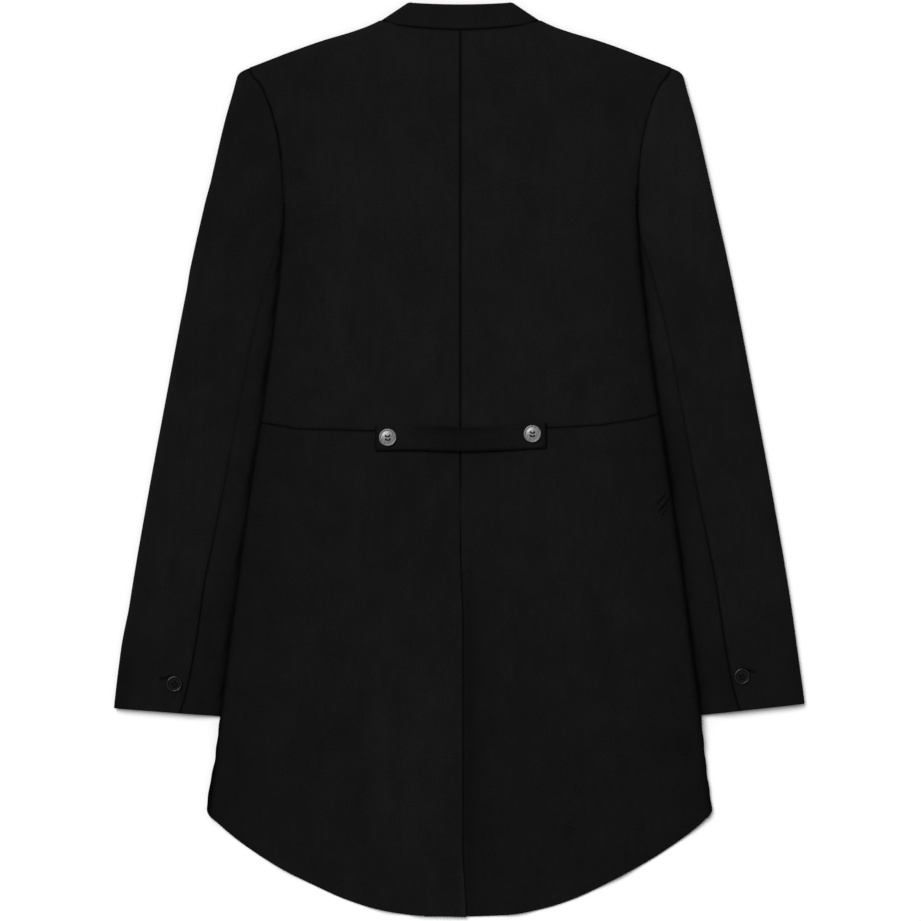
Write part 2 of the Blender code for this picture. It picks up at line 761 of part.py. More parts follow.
def make_belt():
    """The half belt, a strip that lies on the back across the waist."""
    first, last = BELT["across"][0], BELT["across"][-1]
    rows = []
    for share in even(BELT_ROWS):
        row = []
        for step in even(BELT_COLUMNS):
            across = first + (last - first) * step
            top = read(BELT, "across", across, "top")
            down = top + (read(BELT, "across", across, "bottom") - top) * share
            height = belt_underside(across, down)
            row.append((place(1, across, down, height + BELT_WALL), place(1, across, down, height)))
        rows.append(row)
    cloth("half_belt", rows)


def turned(profile, radius):
    """A closed round mesh from a profile that starts and ends on the axis."""
    bm = bmesh.new()
    rings = []
    for share, height in zip(profile["radius"], profile["height"]):
        if share == 0:
            rings.append([bm.verts.new((0, 0, height * MM))])
            continue
        turns = [2 * math.pi * k / BUTTON_SEGMENTS for k in range(BUTTON_SEGMENTS)]
        ring = [(radius * share * math.cos(t), radius * share * math.sin(t), height) for t in turns]
        rings.append([bm.verts.new(Vector(p) * MM) for p in ring])
    for lower, upper in zip(rings, rings[1:]):
        for k in range(BUTTON_SEGMENTS):
            n = (k + 1) % BUTTON_SEGMENTS
            corners = [lower[k % len(lower)], lower[n % len(lower)]]
            corners += [upper[n % len(upper)], upper[k % len(upper)]]
            bm.faces.new(list(dict.fromkeys(corners)))
    bmesh.ops.recalc_face_normals(bm, faces=bm.faces)
    return bm


def hole_cutter(name):
    """Four thin cylinders that cut a button's sewing holes."""
    bm = bmesh.new()
    for x, y in HOLE_PLACES:
        where = Matrix.Translation(Vector((x, y, HOLE_MIDDLE)) * MM)
        bmesh.ops.create_cone(
            bm,
            cap_ends=True,
            segments=HOLE_SEGMENTS,
            radius1=HOLE_RADIUS * MM,
            radius2=HOLE_RADIUS * MM,
            depth=HOLE_DEPTH * MM,
            matrix=where,
        )
    mesh = bpy.data.meshes.new(name)
    bm.to_mesh(mesh)
    bm.free()
    cutter = bpy.data.objects.new(name, mesh)
    bpy.context.scene.collection.objects.link(cutter)
    cutter.hide_render = True
    cutter.display_type = "WIRE"
    return cutter


def make_button(name, place_on, seat, profile, finish):
    """A button on a seat, with four holes cut through it."""
    across, down, radius = place_on
    bm = turned(profile, radius)
    mesh = bpy.data.meshes.new(name)
    bm.to_mesh(mesh)
    bm.free()
    mesh.shade_smooth()
    mesh.set_sharp_from_angle(angle=BUTTON_SHARP)
    button = add_object(name, mesh, finish)
    button.location = place(1, across, down, seat + LAYER_GAP)
    cutter = hole_cutter(f"{name}_holes")
    cutter.location = button.location
    cut = button.modifiers.new("holes", "BOOLEAN")
    cut.operation = "DIFFERENCE"
    cut.solver = "EXACT"
    cut.object = cutter


def make_buttons():
    """Two buttons on the belt and one on each cuff, each resting on the highest point under it."""
    for word, (across, down, radius) in BELT_BUTTONS.items():
        around = [(across + radius * s, down + radius * t) for s in (-1, 0, 1) for t in (-1, 0, 1)]
        seat = max(belt_underside(a, d) for a, d in around) + BELT_WALL
        make_button(f"belt_button_{word}", (across, down, radius), seat, DOMED_PROFILE, PEARL)
    for word, (across, down, radius) in CUFF_BUTTONS.items():
        around = [abs(across) + radius * s for s in (-1, 0, 1)]
        seat = max(sleeve_height(out, down) for out in around)
        make_button(f"cuff_button_{word}", (across, down, radius), seat, FLAT_PROFILE, RESIN)


def main():
    for piece in list(bpy.data.objects):
        bpy.data.objects.remove(piece, do_unlink=True)
    make_backs()
    make_back_skirts()
    make_fronts()
    make_front_skirts()
    make_sleeves()
    make_collar()
    make_belt()
    make_buttons()


main()
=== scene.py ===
"""Looks of a black wool tail coat laid face down: cloth, buttons, sewing, floor, light and camera.

Tables and helpers are in millimetres. "down" is measured towards the hem from a datum line just
above the collar, "out" is the distance from the centre line on either side, "across" the same
with a minus sign on the left, and height is measured from the floor. Meshes are in metres.
"""

import math
from functools import reduce

import bmesh
import bpy
import numpy as np
from mathutils import Matrix, Vector


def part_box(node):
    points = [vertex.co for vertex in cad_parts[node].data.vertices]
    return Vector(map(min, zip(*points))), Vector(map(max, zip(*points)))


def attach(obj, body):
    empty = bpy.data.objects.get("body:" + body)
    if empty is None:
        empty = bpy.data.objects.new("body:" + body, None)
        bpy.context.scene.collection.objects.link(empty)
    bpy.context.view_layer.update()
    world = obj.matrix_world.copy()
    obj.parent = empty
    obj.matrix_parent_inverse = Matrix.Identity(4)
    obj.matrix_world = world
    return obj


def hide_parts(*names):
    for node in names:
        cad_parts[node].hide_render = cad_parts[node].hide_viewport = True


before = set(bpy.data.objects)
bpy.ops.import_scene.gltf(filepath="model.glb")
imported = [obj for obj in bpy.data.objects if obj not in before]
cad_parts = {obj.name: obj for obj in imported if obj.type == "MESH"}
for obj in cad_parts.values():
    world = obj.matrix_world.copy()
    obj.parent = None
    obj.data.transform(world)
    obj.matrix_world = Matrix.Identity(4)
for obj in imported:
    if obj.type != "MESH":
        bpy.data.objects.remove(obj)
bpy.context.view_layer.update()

MM = 0.001
WALL = 2.4
SLEEVE_WALL = 2.2
BELT_WALL = 2.6
# Sewn edges run into each other by a hair, so that no light shows through. Layers stay apart.
SEAM = -0.05
LAYER_GAP = 0.3
DATUM_TO_MIDDLE = 460.0
LEFT, RIGHT = -1, 1
SIDES = {"left": LEFT, "right": RIGHT}

ARMPIT = 205.0
SIDE_SEAM_TOP = 222.0
SIDE_SEAM_INSET = 45.0
BODY_ROLL = 7.0
SLEEVE_ROLL = 9.0
SLEEVE_PRESSED = 5.0
SLEEVE_CROWN = 8.2
CAP_CROWN = 9.6
CAP_START = 70.0
CUFF_OUTER = 344.5
CUFF_OUTER_DOWN = 706.0
CUFF_SLANT = 0.098
# How much lower each cuff's outer corner lies, and the change of that for each mm inwards.
CUFF_CORNER = {LEFT: (2.7, -0.022), RIGHT: (-1.9, 0.012)}
CUFF_END = 720.0
NECK_OUT = 79.0
FRONT_NECK_OUT = 73.0
NECK_POINT_DOWN = 20.0
FRONT_NECK_DEPTH = 95.0
FRONT_OVERLAP = 10.0
VENT_START = 556.0
VENT_SLANT = 22.0
VENT_UNDERLAP = 36.0
VENT_OVERHANG = 2.2
VENT_DROP = 3.3
VENT_SOFTNESS = 20.0
VENT_ROW = VENT_START - 6
VENT_DRIFT = 3.4
# Where the left edge of the vent drifts, as start and run.
VENT_DRIFTS = (850.0, 60.0)

# Lengths over which one level passes into another.
ARMPIT_ROLL = 3.2
ROLL_GROWTH = 40.0
ARMPIT_BLEND = 0.12
LIFT_START = 45.0
LIFT_RUN = 33.0
CUFF_CLEAR = 4.0
CUFF_RUN = 40.0
SIDE_START = 85.0
SIDE_RUN = 70.0
OVERLAP_RUN = 22.0
TAIL_START = 20.0
TAIL_RUN = 105.0
SHOULDER_ROUND = 14.0
BESIDE_NECK = 12.0
CAP_ROUND = 16.0
CAP_EDGE = 5.2
CAP_END = 170.0
CAP_RUN = 90.0
PRESS_RUN = 33.0
BESIDE_BODY = 3.0
CROWN_RUN = 26.0
INNER_ROLL = 4.0
# The top sleeve's fold takes up to this share of its upper layer.
ROLL_SHARE = 0.45
BELT_SEAT = 0.5
BELT_FREE = 1.2
BELT_FREE_HALF = 66.0
COLLAR_FREE_OUT = 52.5
COLLAR_FREE_DOWN = 2.4
COLLAR_DIP = 2.0
COLLAR_ROLL = 5.0
COLLAR_FRONT_DEPTH = 86.0
NECK_GAP = 0.6


def table(columns, *rows):
    """Rows as dicts. The columns are named in one string."""
    return [dict(zip(columns.split(), row)) for row in rows]


BODY_EDGE = {
    "down": (205, 255, 305, 405, 505, 605, 705, 740, 780, 808, 830),
    "out": (176.5, 180, 185, 198, 213, 226.5, 239, 243, 248, 252, 254.5),
}
ARMHOLE = {
    "down": (66, 74, 85, 95, 115, 145, 175, 205, 222),
    "back": (211.5, 209, 200, 195, 188, 181, 178, 176.5, 176.5),
    "front": (211.2, 207, 195, 187, 174, 161, 151, 140, 132.5),
}
SLEEVE_OUTER = {
    "down": (66, 70, 74, 80, 90, 120, 160, 200, 250, 300, 400, 500, 600, 650, 700, 720),
    "out": (210, 218, 222, 224.3, 227, 235.5, 245, 254, 265.5, 276, 295, 313.5, 330.5, 337.5, 344.3, 346.5),
}
# How much further out the left sleeve reaches.
SLEEVE_EXTRA = {"down": (182, 205, 268, 292, 603, 648, 710), "out": (0, 1.0, 1.0, 0, 0, 2.3, 1.5)}
ELBOW_SEAM = {
    "down": (205, 230, 250, 280, 316, 345, 400, 450, 493, 535, 585, 640, 690, 712, 720),
    "out": (176.8, 179, 185, 193.5, 203, 209.5, 220, 229.5, 237.5, 246, 256, 264, 273.5, 280, 283),
}
SLEEVE_UNDER = {
    "down": (205, 222, 240, 270, 300, 400, 500, 600, 720),
    "inner_fold": (145, 138, 130, 122, 120, 138, 160, 182, 210.5),
    "forearm_seam": (150, 155, 150, 144, 142, 160, 182, 204, 232),
}
SHOULDER = {
    "out": (0, 30, 62, 79, 88.5, 98.5, 110.5, 137.5, 166, 192.5, 208, 212),
    "down": (30, 28.5, 25, 20, 24, 28, 32, 40, 50, 60, 66, 67.5),
}
# The cap's upper end, from the shoulder tip to the outer fold.
CAP_TOP = {
    "out": (150, 205, 211, 216, 221, 226),
    "down": (66.5, 66.8, 67.8, 69.6, 72.6, 77),
}
HEM = {
    "out": (0, 43.5, 80.5, 112.5, 154.5, 191, 221, 236.5, 245, 248.5, 252),
    "down": (917.5, 916, 910, 900, 880, 860, 840, 828, 820, 816, 808),
}
# How much lower the hem hangs on the left.
HEM_EXTRA = {"out": (30, 80, 130, 175, 215, 245), "down": (0, 0.6, 1.4, 2.6, 2.3, 0.8)}
CUTAWAY = {
    "out": (-12, 10, 30, 60, 100, 140, 180, 217, 245, 252),
    "down": (556, 580, 612, 645, 681, 714, 746, 775, 797, 803),
}
WAIST = {
    "across": (-200, -180, -160, -120, -85, 85, 140, 160, 180, 200),
    "down": (423, 426, 429, 430, 431, 428, 425, 422, 419, 413),
}
BELT = {
    "across": (-85, -44, -20, 2, 30, 64, 86),
    "top": (425, 425.8, 426.4, 427.4, 427, 425, 422.5),
    "bottom": (451, 450.6, 451.6, 452, 451.2, 449.6, 448),
}
LOFT = {
    "down": (20, 60, 110, 175, 215, 300, 430, 720, 768, 830),
    "middle": (7.2, 9.0, 10.8, 11.4, 11.4, 10.4, 8.9, 8.9, 8.9, 8.9),
    "side": (4.0, 5.4, 7.2, 7.2, 11.1, 11.1, 11.1, 11.1, 5.8, 5.8),
}
SKIRT_FOLDS = table(
    "side from to half_width height",
    (LEFT, (58, 520), (76, 915), 26, 2.6),
    (LEFT, (120, 470), (178, 880), 30, 1.8),
    (RIGHT, (40, 500), (58, 912), 24, 2.2),
    (RIGHT, (112, 480), (160, 890), 30, 2.4),
)
# Buttons: across and down of the centre, and the radius.
BELT_BUTTONS = {"left": (-72.5, 437.4, 8.6), "right": (71.9, 433.8, 8.6)}
CUFF_BUTTONS = {"left": (-285.9, 683.8, 7.8), "right": (281.5, 676.3, 7.8)}

# Creases: both ends as (across, down), the bow of the middle, the half widths of the two sides, and the
# height. A minus height is a trough.
CREASE_COLUMNS = "from to bow near far height"
BACK_CREASES = table(
    CREASE_COLUMNS,
    ((-120, 268), (-106, 402), 5, 13, 27, 1.5),
    ((-98, 150), (-112, 262), -6, 20, 30, 1.1),
    ((38, 128), (74, 262), 7, 18, 30, 1.3),
    ((150, 348), (84, 404), 5, 9, 20, 1.3),
    ((158, 372), (108, 412), 4, 9, 14, -1.0),
    ((-170, 388), (-112, 414), -4, 9, 16, -1.1),
    ((-178, 352), (-128, 378), -3, 8, 14, 0.9),
    ((-160, 250), (-150, 340), 4, 9, 18, -0.9),
    ((156, 236), (146, 322), -4, 9, 18, -0.9),
    ((-22, 330), (-30, 412), 2, 9, 15, 0.7),
    ((24, 300), (30, 398), -3, 11, 17, -0.7),
    ((-90, 456), (-104, 585), 4, 9, 17, 1.3),
    ((90, 452), (108, 600), -4, 8, 18, 1.2),
    ((-24, 458), (-34, 560), -3, 10, 16, 0.9),
    ((-73, 640), (-66, 902), 5, 13, 22, 1.5),
    ((44, 582), (50, 712), -3, 11, 18, 1.3),
    ((-146, 672), (-166, 790), -5, 18, 26, -1.5),
    ((-196, 560), (-206, 700), -3, 9, 16, 0.9),
    ((148, 560), (160, 742), 5, 12, 24, -1.3),
    ((188, 540), (206, 676), 3, 9, 16, 0.9),
)
# Three short sharp creases at the right side fold, and the finer grid that holds them.
PINCHES = table(
    CREASE_COLUMNS,
    ((194.0, 506.5), (206.5, 491.5), 0.9, 1.5, 2.2, -1.5),
    ((196.0, 514.5), (210.0, 495.5), 0.9, 1.5, 2.2, -1.8),
    ((199.0, 519.0), (209.0, 503.0), 0.7, 1.4, 2.0, -1.2),
)
PINCH_COLUMNS = (163.0, 180.0, 0.9)
PINCH_ROWS = (0.52, 0.82, 0.0075)
PINCH_SHADE = 0.45
CREASE_SHADE = 0.055
SLEEVE_CREASES = table(
    CREASE_COLUMNS,
    ((-208, 118), (-226, 196), 4, 8, 15, 0.9),
    ((-200, 212), (-232, 262), -4, 8, 14, -1.0),
    ((-226, 300), (-262, 352), 5, 10, 17, 1.0),
    ((-240, 372), (-284, 396), -4, 7, 12, -1.4),
    ((-238, 408), (-276, 432), -3, 7, 11, 1.1),
    ((-254, 446), (-296, 466), -3, 6, 12, -1.0),
    ((-268, 520), (-300, 612), 6, 11, 18, 1.0),
    ((204, 112), (224, 188), -4, 8, 15, 0.9),
    ((202, 220), (238, 262), 4, 8, 14, -1.1),
    ((238, 292), (258, 362), -5, 11, 16, 1.1),
    ((236, 384), (286, 402), 4, 7, 12, -1.3),
    ((248, 426), (282, 442), 3, 7, 11, 1.0),
    ((252, 458), (298, 484), 4, 6, 12, -1.1),
    ((272, 540), (308, 628), -6, 10, 18, 0.9),
)
# The layers on the floor only rise from it.
FRONT_CREASES = table(
    CREASE_COLUMNS,
    ((-52, 150), (-96, 258), 6, 12, 20, 1.2),
    ((-34, 300), (-74, 404), -5, 10, 18, 1.0),
    ((46, 176), (88, 250), -6, 11, 19, 1.1),
    ((28, 288), (78, 396), 5, 12, 20, 1.3),
    ((-60, 440), (-112, 600), 7, 13, 22, 1.4),
    ((52, 448), (92, 590), -6, 12, 22, 1.2),
)
SLEEVE_FLOOR_CREASES = table(
    CREASE_COLUMNS,
    ((-246, 380), (-288, 404), -4, 8, 13, 1.1),
    ((-250, 430), (-294, 446), -3, 7, 12, 0.9),
    ((-286, 560), (-304, 640), 4, 9, 15, 0.8),
    ((240, 372), (284, 398), 4, 8, 13, 1.2),
    ((256, 436), (300, 458), 3, 7, 12, 0.9),
    ((282, 548), (306, 632), -4, 9, 15, 0.9),
)
CREASE_TAPER = 0.32
BROAD_HEIGHT = 0.42
BROAD_WAVES = ((0.021, 0.013, 0.4), (-0.015, 0.024, 1.9), (0.034, -0.009, 3.1))
CALM_RADIUS = 26.0
COLLAR_CALM = 26.0
ARMHOLE_CALM = 9.0
ARMHOLE_CALM_PAST = 20.0
EDGE_WAVES = ((0.045, 0.35, 0.3), (0.27, 0.3, 1.7), (0.021, 0.3, 4.0))
EDGE_REACH = 16.0
# The left hem corner reaches further out, from this place down.
HEM_CORNER_OUT = 2.1
HEM_CORNER = (758.0, 30.0)
# The down at which the side fold meets the hem: its middle, and the change up to its ends.
HEM_FOLD = (808.5, 11.5)

# Edges of the cut: distances from an edge at which a panel has rows or columns.
EDGE_STEPS = (0, 0.15, 0.4, 0.8, 1.3, 2.2, 3.8)
SEAM_ROUND = 1.15
FREE_ROUND = 1.1
HUMP_HEIGHT = 0.28
HUMP_AT = 5.5
HUMP_HALF = 4.5
PUCKER_HEIGHT = 0.12
PUCKER_LENGTH = 9.0
PUCKER_REACH = 4.0
SEAM_SHADE_REACH = 1.5
# Points that face up more than this show the allowances that are pressed inside.
FACES_UP = 0.25
# Points of the side fold that face up more than this are no edge at the armpit.
JOINED_UP = 0.3
# The distance to an edge that a panel doesn't have.
FAR = 1e3
BORDERS = {
    "top": (0, slice(None)), "bottom": (-1, slice(None)),
    "first": (slice(None), 0), "last": (slice(None), -1),
}
# How much deeper or fainter than 1 the body's seams get, and how deep the elbow seams are.
ARMPIT_DEEPER = 0.55
ARMHOLE_FAINTER = 0.2
WAIST_FAINTER = 0.2
CENTRE_FAINTER = 0.72
COLLAR_FAINTER = 0.75
ELBOW_DEPTH = {LEFT: 0.28, RIGHT: 0.42}
CUFF_DEPTH = 0.95
# Where these seams start or end, as distances out or down.
ARMHOLE_FROM = 140
WAIST_ROWS = (405, 440)
BELT_END = 80
CENTRE_HALF = 25
COLLAR_ROWS = 30
# Stretches over which seams get deeper or fainter, as start and run.
TO_ARMPIT = (110, 80)
TO_CUFF = (400, 240)
BELOW_BELT = (458, 55)
COLLAR_END = (52, 20)

# Painted light and shade and their shares, and the stretches over which they change, as start and run.
DARKEST = 0.03
BODY_TONE = 1.03
# The painted dark line of shadow along the side fold, and the painted shades beside it as share and reach.
BODY_LINE = {LEFT: 0.8, RIGHT: 0.5}
BODY_LINE_REACH = 3.4
FOLD_SHADES = ((0.2, 70), (0.3, 9))
ARMHOLE_SHADE = 0.08
UPPER_LIGHT = 0.13
LOW_SHADE = 0.06
RIGHT_SHADE = 0.07
OUTER_BACK = (120, 60)
ROUND_ARMPIT = (ARMPIT - 50, 80)
ABOVE_WAIST = (405, 50)
LOW_SKIRT = (740, 90)
RIGHT_SKIRT = (600, 100)
VENT_LIGHT = 0.35
VENT_LIGHT_REACH = {LEFT: 2.5, RIGHT: 2.4}
VENT_LIT = (525, 30)
VENT_SHADE = (VENT_START - 30, 80)
VENT_SHADE_END = (820, 90)
# The painted shadows beside the vent, as share and width.
VENT_SHADES = ((0.38, 22), (0.2, 60))
# The left skirt's painted band of light: its share, its middle and half width, and where it starts and ends.
BAND_LIGHT = 0.16
LIGHT_BAND = (50, 55)
BAND_START = (560, 90)
BAND_END = (820, 80)
SLEEVE_TONE = 1.07
# Painted shades along the outer fold, as share and reach, and what is left of the first at the top.
OUTER_SHADE = (0.14, 26)
OUTER_SHADE_TOP = 0.3
CORNER_SHADE = (0.24, 24)
CUFF_SHADE = 0.1
CAP_LIGHT = {LEFT: -0.1, RIGHT: 0.28}
SLEEVE_CAP = (120, 220)
LOWER_SLEEVE = (420, 260)
NEAR_CUFF = (560, 130)
CUFF_CORNER_SHADE = (630, 60)
# The undersleeve's painted shade: even, then by stretches down it as (share, start, run), then soft and
# as a line of painted shadow along the body, and the line's reach.
UNDERSLEEVE_SHADE = {
    LEFT: (-0.07, ((0.2, 500, 140),), 0.3, 0.85, 3.6),
    RIGHT: (-0.14, ((0.36, 385, 60), (-0.12, 465, 60), (0.14, 600, 90)), 0.27, 0.5, 3.3),
}
SOFT_REACH = 14
COLLAR_TONE = 1.04
# Painted shade on the belt: darker in its middle, a painted shadow under its upper edge, and painted shade at
# its ends and bottom.
BELT_SHADE = 0.22
BELT_SHADE_HALF = 74
BELT_SHADOW = 0.36
BELT_SHADOW_MIDDLE = -6
BELT_SHADOW_HALF = 66
BELT_SHADOW_DEPTH = 11
BELT_EDGE_SHADE = (1.9, 2.2)

WOOL_DARK = (0.0036, 0.0036, 0.0037)
WOOL_LIGHT = (0.0068, 0.0068, 0.0070)
TWILL_SLANT = math.radians(58)
TWILL_PITCH = 0.00085
STREAK_SCALE = (150, 26, 80)
SLEEVE_GRAIN = math.radians(11)

# Spacing of rows and columns. The lengths are nominal, as each row is stretched to its edges.
UPPER_STEP = 3.4
UNDER_STEP = 4.6
FOLD_STEPS = 12
FOLD_ANGLES = np.linspace(90, -90, FOLD_STEPS + 1)[1:-1]
BACK_LENGTH = 220
SKIRT_LENGTHS = (120, 330)
FRONT_LENGTHS = (150, 200)
FRONT_SKIRT_LENGTH = 260
SLEEVE_LENGTH = 510
TOP_SLEEVE_WIDTHS = (105, 150)
UNDERSLEEVE_WIDTHS = (65, 17)
BELT_WIDTH = 26
BELT_STEPS = (2.6, 1.8)
COLLAR_WIDTH = 26
COLLAR_STEP = 2.6
COLLAR_FRONT_ANGLES = np.linspace(90, 8, 34)
NECK_CORNER = 0.8
BACK_FIXED = 80.0
FRONT_FIXED = 85.0
NOMINAL_LIMIT = 180.0
VENT_COLUMNS = 30.0
SETTLE_FROM = 300.0
SETTLE_ROUNDS = 14


def smooth(share):
    """A ramp from 0 to 1 with level ends."""
    share = np.clip(share, 0.0, 1.0)
    return share * share * (3 - 2 * share)


def rise(value, start, run):
    """0 up to start, 1 from start + run on, and a soft ramp between."""
    return smooth((value - start) / run)


def fall(value, start, run):
    return 1 - rise(value, start, run)


def mix(first, second, share):
    return first + (second - first) * share


def rounding(share):
    """A quarter round from 0 at an edge to 1."""
    return np.sqrt(1 - (1 - np.clip(share, 0.0, 1.0)) ** 2)


def read(curve, at, column=None):
    """A column over the first one, on a smooth curve that doesn't overshoot its rows.

    Where no column is named, it is the second one.
    """
    names = list(curve)
    keys, values = (np.array(curve[name], float) for name in (names[0], column or names[1]))
    at = np.clip(at, keys[0], keys[-1])
    steps = np.diff(keys)
    slopes = np.diff(values) / steps
    before, after = slopes[:-1], slopes[1:]
    same_way = before * after > 0
    total = np.where(same_way, before + after, 1.0)
    between = np.where(same_way, 2 * before * after / total, 0.0)
    tangents = np.concatenate(([slopes[0]], between, [slopes[-1]]))
    i = np.clip(np.searchsorted(keys, at, side="right") - 1, 0, len(steps) - 1)
    h = steps[i]
    t = (at - keys[i]) / h
    return (
        values[i] * (1 + 2 * t) * (1 - t) ** 2
        + values[i + 1] * t * t * (3 - 2 * t)
        + h * tangents[i] * t * (1 - t) ** 2
        - h * tangents[i + 1] * t * t * (1 - t)
    )


# Edges of the panels

def body_edge(down):
    return read(BODY_EDGE, down)


def body_roll(down):
    """The side fold's depth, which grows from the armpit down."""
    return mix(ARMPIT_ROLL, BODY_ROLL, rise(down, ARMPIT, ROLL_GROWTH))


def back_limit(down):
    """Where the back's upper layer ends: the armhole, then the start of the side fold."""
    fold_start = body_edge(down) - body_roll(down)
    return mix(read(ARMHOLE, down, "back"), fold_start, rise(down, ARMPIT - ARMPIT_BLEND, ARMPIT_BLEND))


def side_seam(down):
    """The seam on the underside, between the back's wrap and the front."""
    return body_edge(down) - SIDE_SEAM_INSET


def sleeve_edge(down, layer):
    """The top sleeve's inner edge in a layer: the armhole, then the elbow or the forearm seam."""
    if layer == "upper":
        armhole, seam = read(ARMHOLE, down, "back"), read(ELBOW_SEAM, down)
    else:
        armhole, seam = read(ARMHOLE, down, "front"), read(SLEEVE_UNDER, down, "forearm_seam")
    return np.where(down < ARMPIT, armhole + SEAM, seam)


def sleeve_roll(down):
    """The outer fold's depth, which is less where the cap is narrow."""
    return np.minimum(SLEEVE_ROLL, ROLL_SHARE * (read(SLEEVE_OUTER, down) - sleeve_edge(down, "upper")))


def inner_fold(down):
    return read(SLEEVE_UNDER, down, "inner_fold")


def shoulder_line(out):
    return read(SHOULDER, out)


def front_top(out):
    """The front's upper edge: the neckline, then the shoulder."""
    share = np.clip(out / FRONT_NECK_OUT, 0.0, 1.0)
    neckline = NECK_POINT_DOWN + FRONT_NECK_DEPTH * np.sqrt(1 - share**2)
    return np.where(out < FRONT_NECK_OUT, neckline, np.maximum(shoulder_line(out), NECK_POINT_DOWN))


def cutaway(out):
    return read(CUTAWAY, out)


def cap_line(out):
    return read(CAP_TOP, out)


def hem_line(side):
    """The back hem as a function of the distance out. It hangs lower on the left."""
    return lambda out: read(HEM, np.maximum(out, 0)) + (read(HEM_EXTRA, out) if side == LEFT else 0.0)


def cuff_line(side):
    lower, change = CUFF_CORNER[side]
    return lambda out: CUFF_OUTER_DOWN + lower + (CUFF_OUTER - out) * (CUFF_SLANT + change)


def waist_edge(side, gap):
    """The waist seam as a function of the distance out, moved down by a gap."""
    return lambda out: read(WAIST, side * out) + gap


# Heights of the layers

def over_sleeve(out, down):
    """How far the lower layer is lifted where it lies over the sleeve's hidden part."""
    inside = rise(out, inner_fold(down) - LIFT_START, LIFT_RUN)
    return (SLEEVE_PRESSED + LAYER_GAP) * inside * fall(down, CUFF_END + CUFF_CLEAR, CUFF_RUN)


def front_level(side, out, down):
    """The underside of a front, which rises over the sleeve and, on the right, over the left front."""
    level = over_sleeve(out, down) * rise(down, ARMPIT - OVERLAP_RUN / 2, OVERLAP_RUN)
    if side == RIGHT:
        level += (WALL + LAYER_GAP) * fall(out, FRONT_OVERLAP + CUFF_CLEAR / 2, OVERLAP_RUN)
    return level


def skirt_ridges(side, out, down):
    height = np.zeros_like(out + down)
    for fold in SKIRT_FOLDS:
        if fold["side"] == side:
            (out_0, down_0), (out_1, down_1) = fold["from"], fold["to"]
            share = (down - down_0) / (down_1 - down_0)
            aside = np.abs(out - mix(out_0, out_1, share)) / fold["half_width"]
            height = height + fold["height"] * smooth(2 * share) * smooth(1 - aside)
    return height * smooth(out / VENT_COLUMNS)


def tail_share(out, down):
    """0 where the back lies on the fronts, 1 where the tail lies on the floor."""
    return rise(down, cutaway(np.maximum(np.abs(out), FRONT_OVERLAP)) - TAIL_START, TAIL_RUN)


def vent_step(side, out, down):
    """How far the right back is lowered where the left one lies on it at the vent."""
    if side == LEFT:
        return np.zeros_like(out + down)
    step = VENT_DROP * rise(down, VENT_ROW - ROLL_GROWTH, ROLL_GROWTH)
    return -step * fall(out, VENT_OVERHANG, VENT_SOFTNESS)


def back_level(side, out, down):
    """The underside of the back's upper layer."""
    aside = rise(out, back_limit(down) - SIDE_START, SIDE_RUN)
    level = mix(read(LOFT, down, "middle"), read(LOFT, down, "side"), aside)
    rounded = mix(WALL + LAYER_GAP, level, rounding((down - shoulder_line(out)) / SHOULDER_ROUND))
    level = mix(level, rounded, rise(out, NECK_OUT - BESIDE_NECK, BESIDE_NECK))
    step = vent_step(side, out, down)
    floor = -step
    if side == LEFT:
        floor = VENT_DROP * fall(out, VENT_UNDERLAP + VENT_OVERHANG, VENT_SOFTNESS)
    level = mix(level, floor, tail_share(out, down))
    return np.maximum(level + step + skirt_ridges(side, out, down), 0.0)


def under_body(out, down):
    """1 where the body lies on the sleeve and presses it flat, 0 where the sleeve is free."""
    beside = np.where(down > ARMPIT, body_edge(down), read(ARMHOLE, down, "back"))
    return rise(down, CAP_END, PRESS_RUN) * fall(out, beside + BESIDE_BODY, CROWN_RUN)


def sleeve_height(out, down):
    """The upper surface of a sleeve, pressed flat under the body and crowned beside it."""
    crown = mix(CAP_CROWN, SLEEVE_CROWN, rise(down, CAP_END, CAP_RUN))
    height = mix(crown, SLEEVE_PRESSED, under_body(out, down))
    return mix(CAP_EDGE, height, rounding((down - CAP_START) / CAP_ROUND))


# Creases

def crease_field(creases, across, down):
    """The height of all creases at each point: soft sides, and ends that run out."""
    total = np.zeros_like(across + down)
    for crease in creases:
        (across_0, down_0), (across_1, down_1) = crease["from"], crease["to"]
        length = math.hypot(across_1 - across_0, down_1 - down_0)
        step_across, step_down = (across_1 - across_0) / length, (down_1 - down_0) / length
        along = ((across - across_0) * step_across + (down - down_0) * step_down) / length
        inside = np.clip(along, 0.0, 1.0)
        aside = (down - down_0) * step_across - (across - across_0) * step_down
        aside = aside - crease["bow"] * 4 * inside * (1 - inside)
        width = np.where(aside < 0, crease["near"], crease["far"])
        ends = smooth(along / CREASE_TAPER) * smooth((1 - along) / CREASE_TAPER)
        total = total + crease["height"] * ends * smooth(1 - np.abs(aside) / width)
    return total


def broad_waves(across, down):
    """Low waves, wider than a hand, so that no stretch of cloth is quite level."""
    waves = [np.sin(a * across + d * down + phase) for a, d, phase in BROAD_WAVES]
    return BROAD_HEIGHT * sum(waves) / len(waves)


def calm_at_buttons(across, down):
    """0 at a button, so that its cloth stays where the solid has it, and 1 away from all of them."""
    calm = np.ones_like(across + down)
    for x, y, radius in (*BELT_BUTTONS.values(), *CUFF_BUTTONS.values()):
        calm = calm * rise(np.sqrt((across - x) ** 2 + (down - y) ** 2), radius, CALM_RADIUS)
    return calm


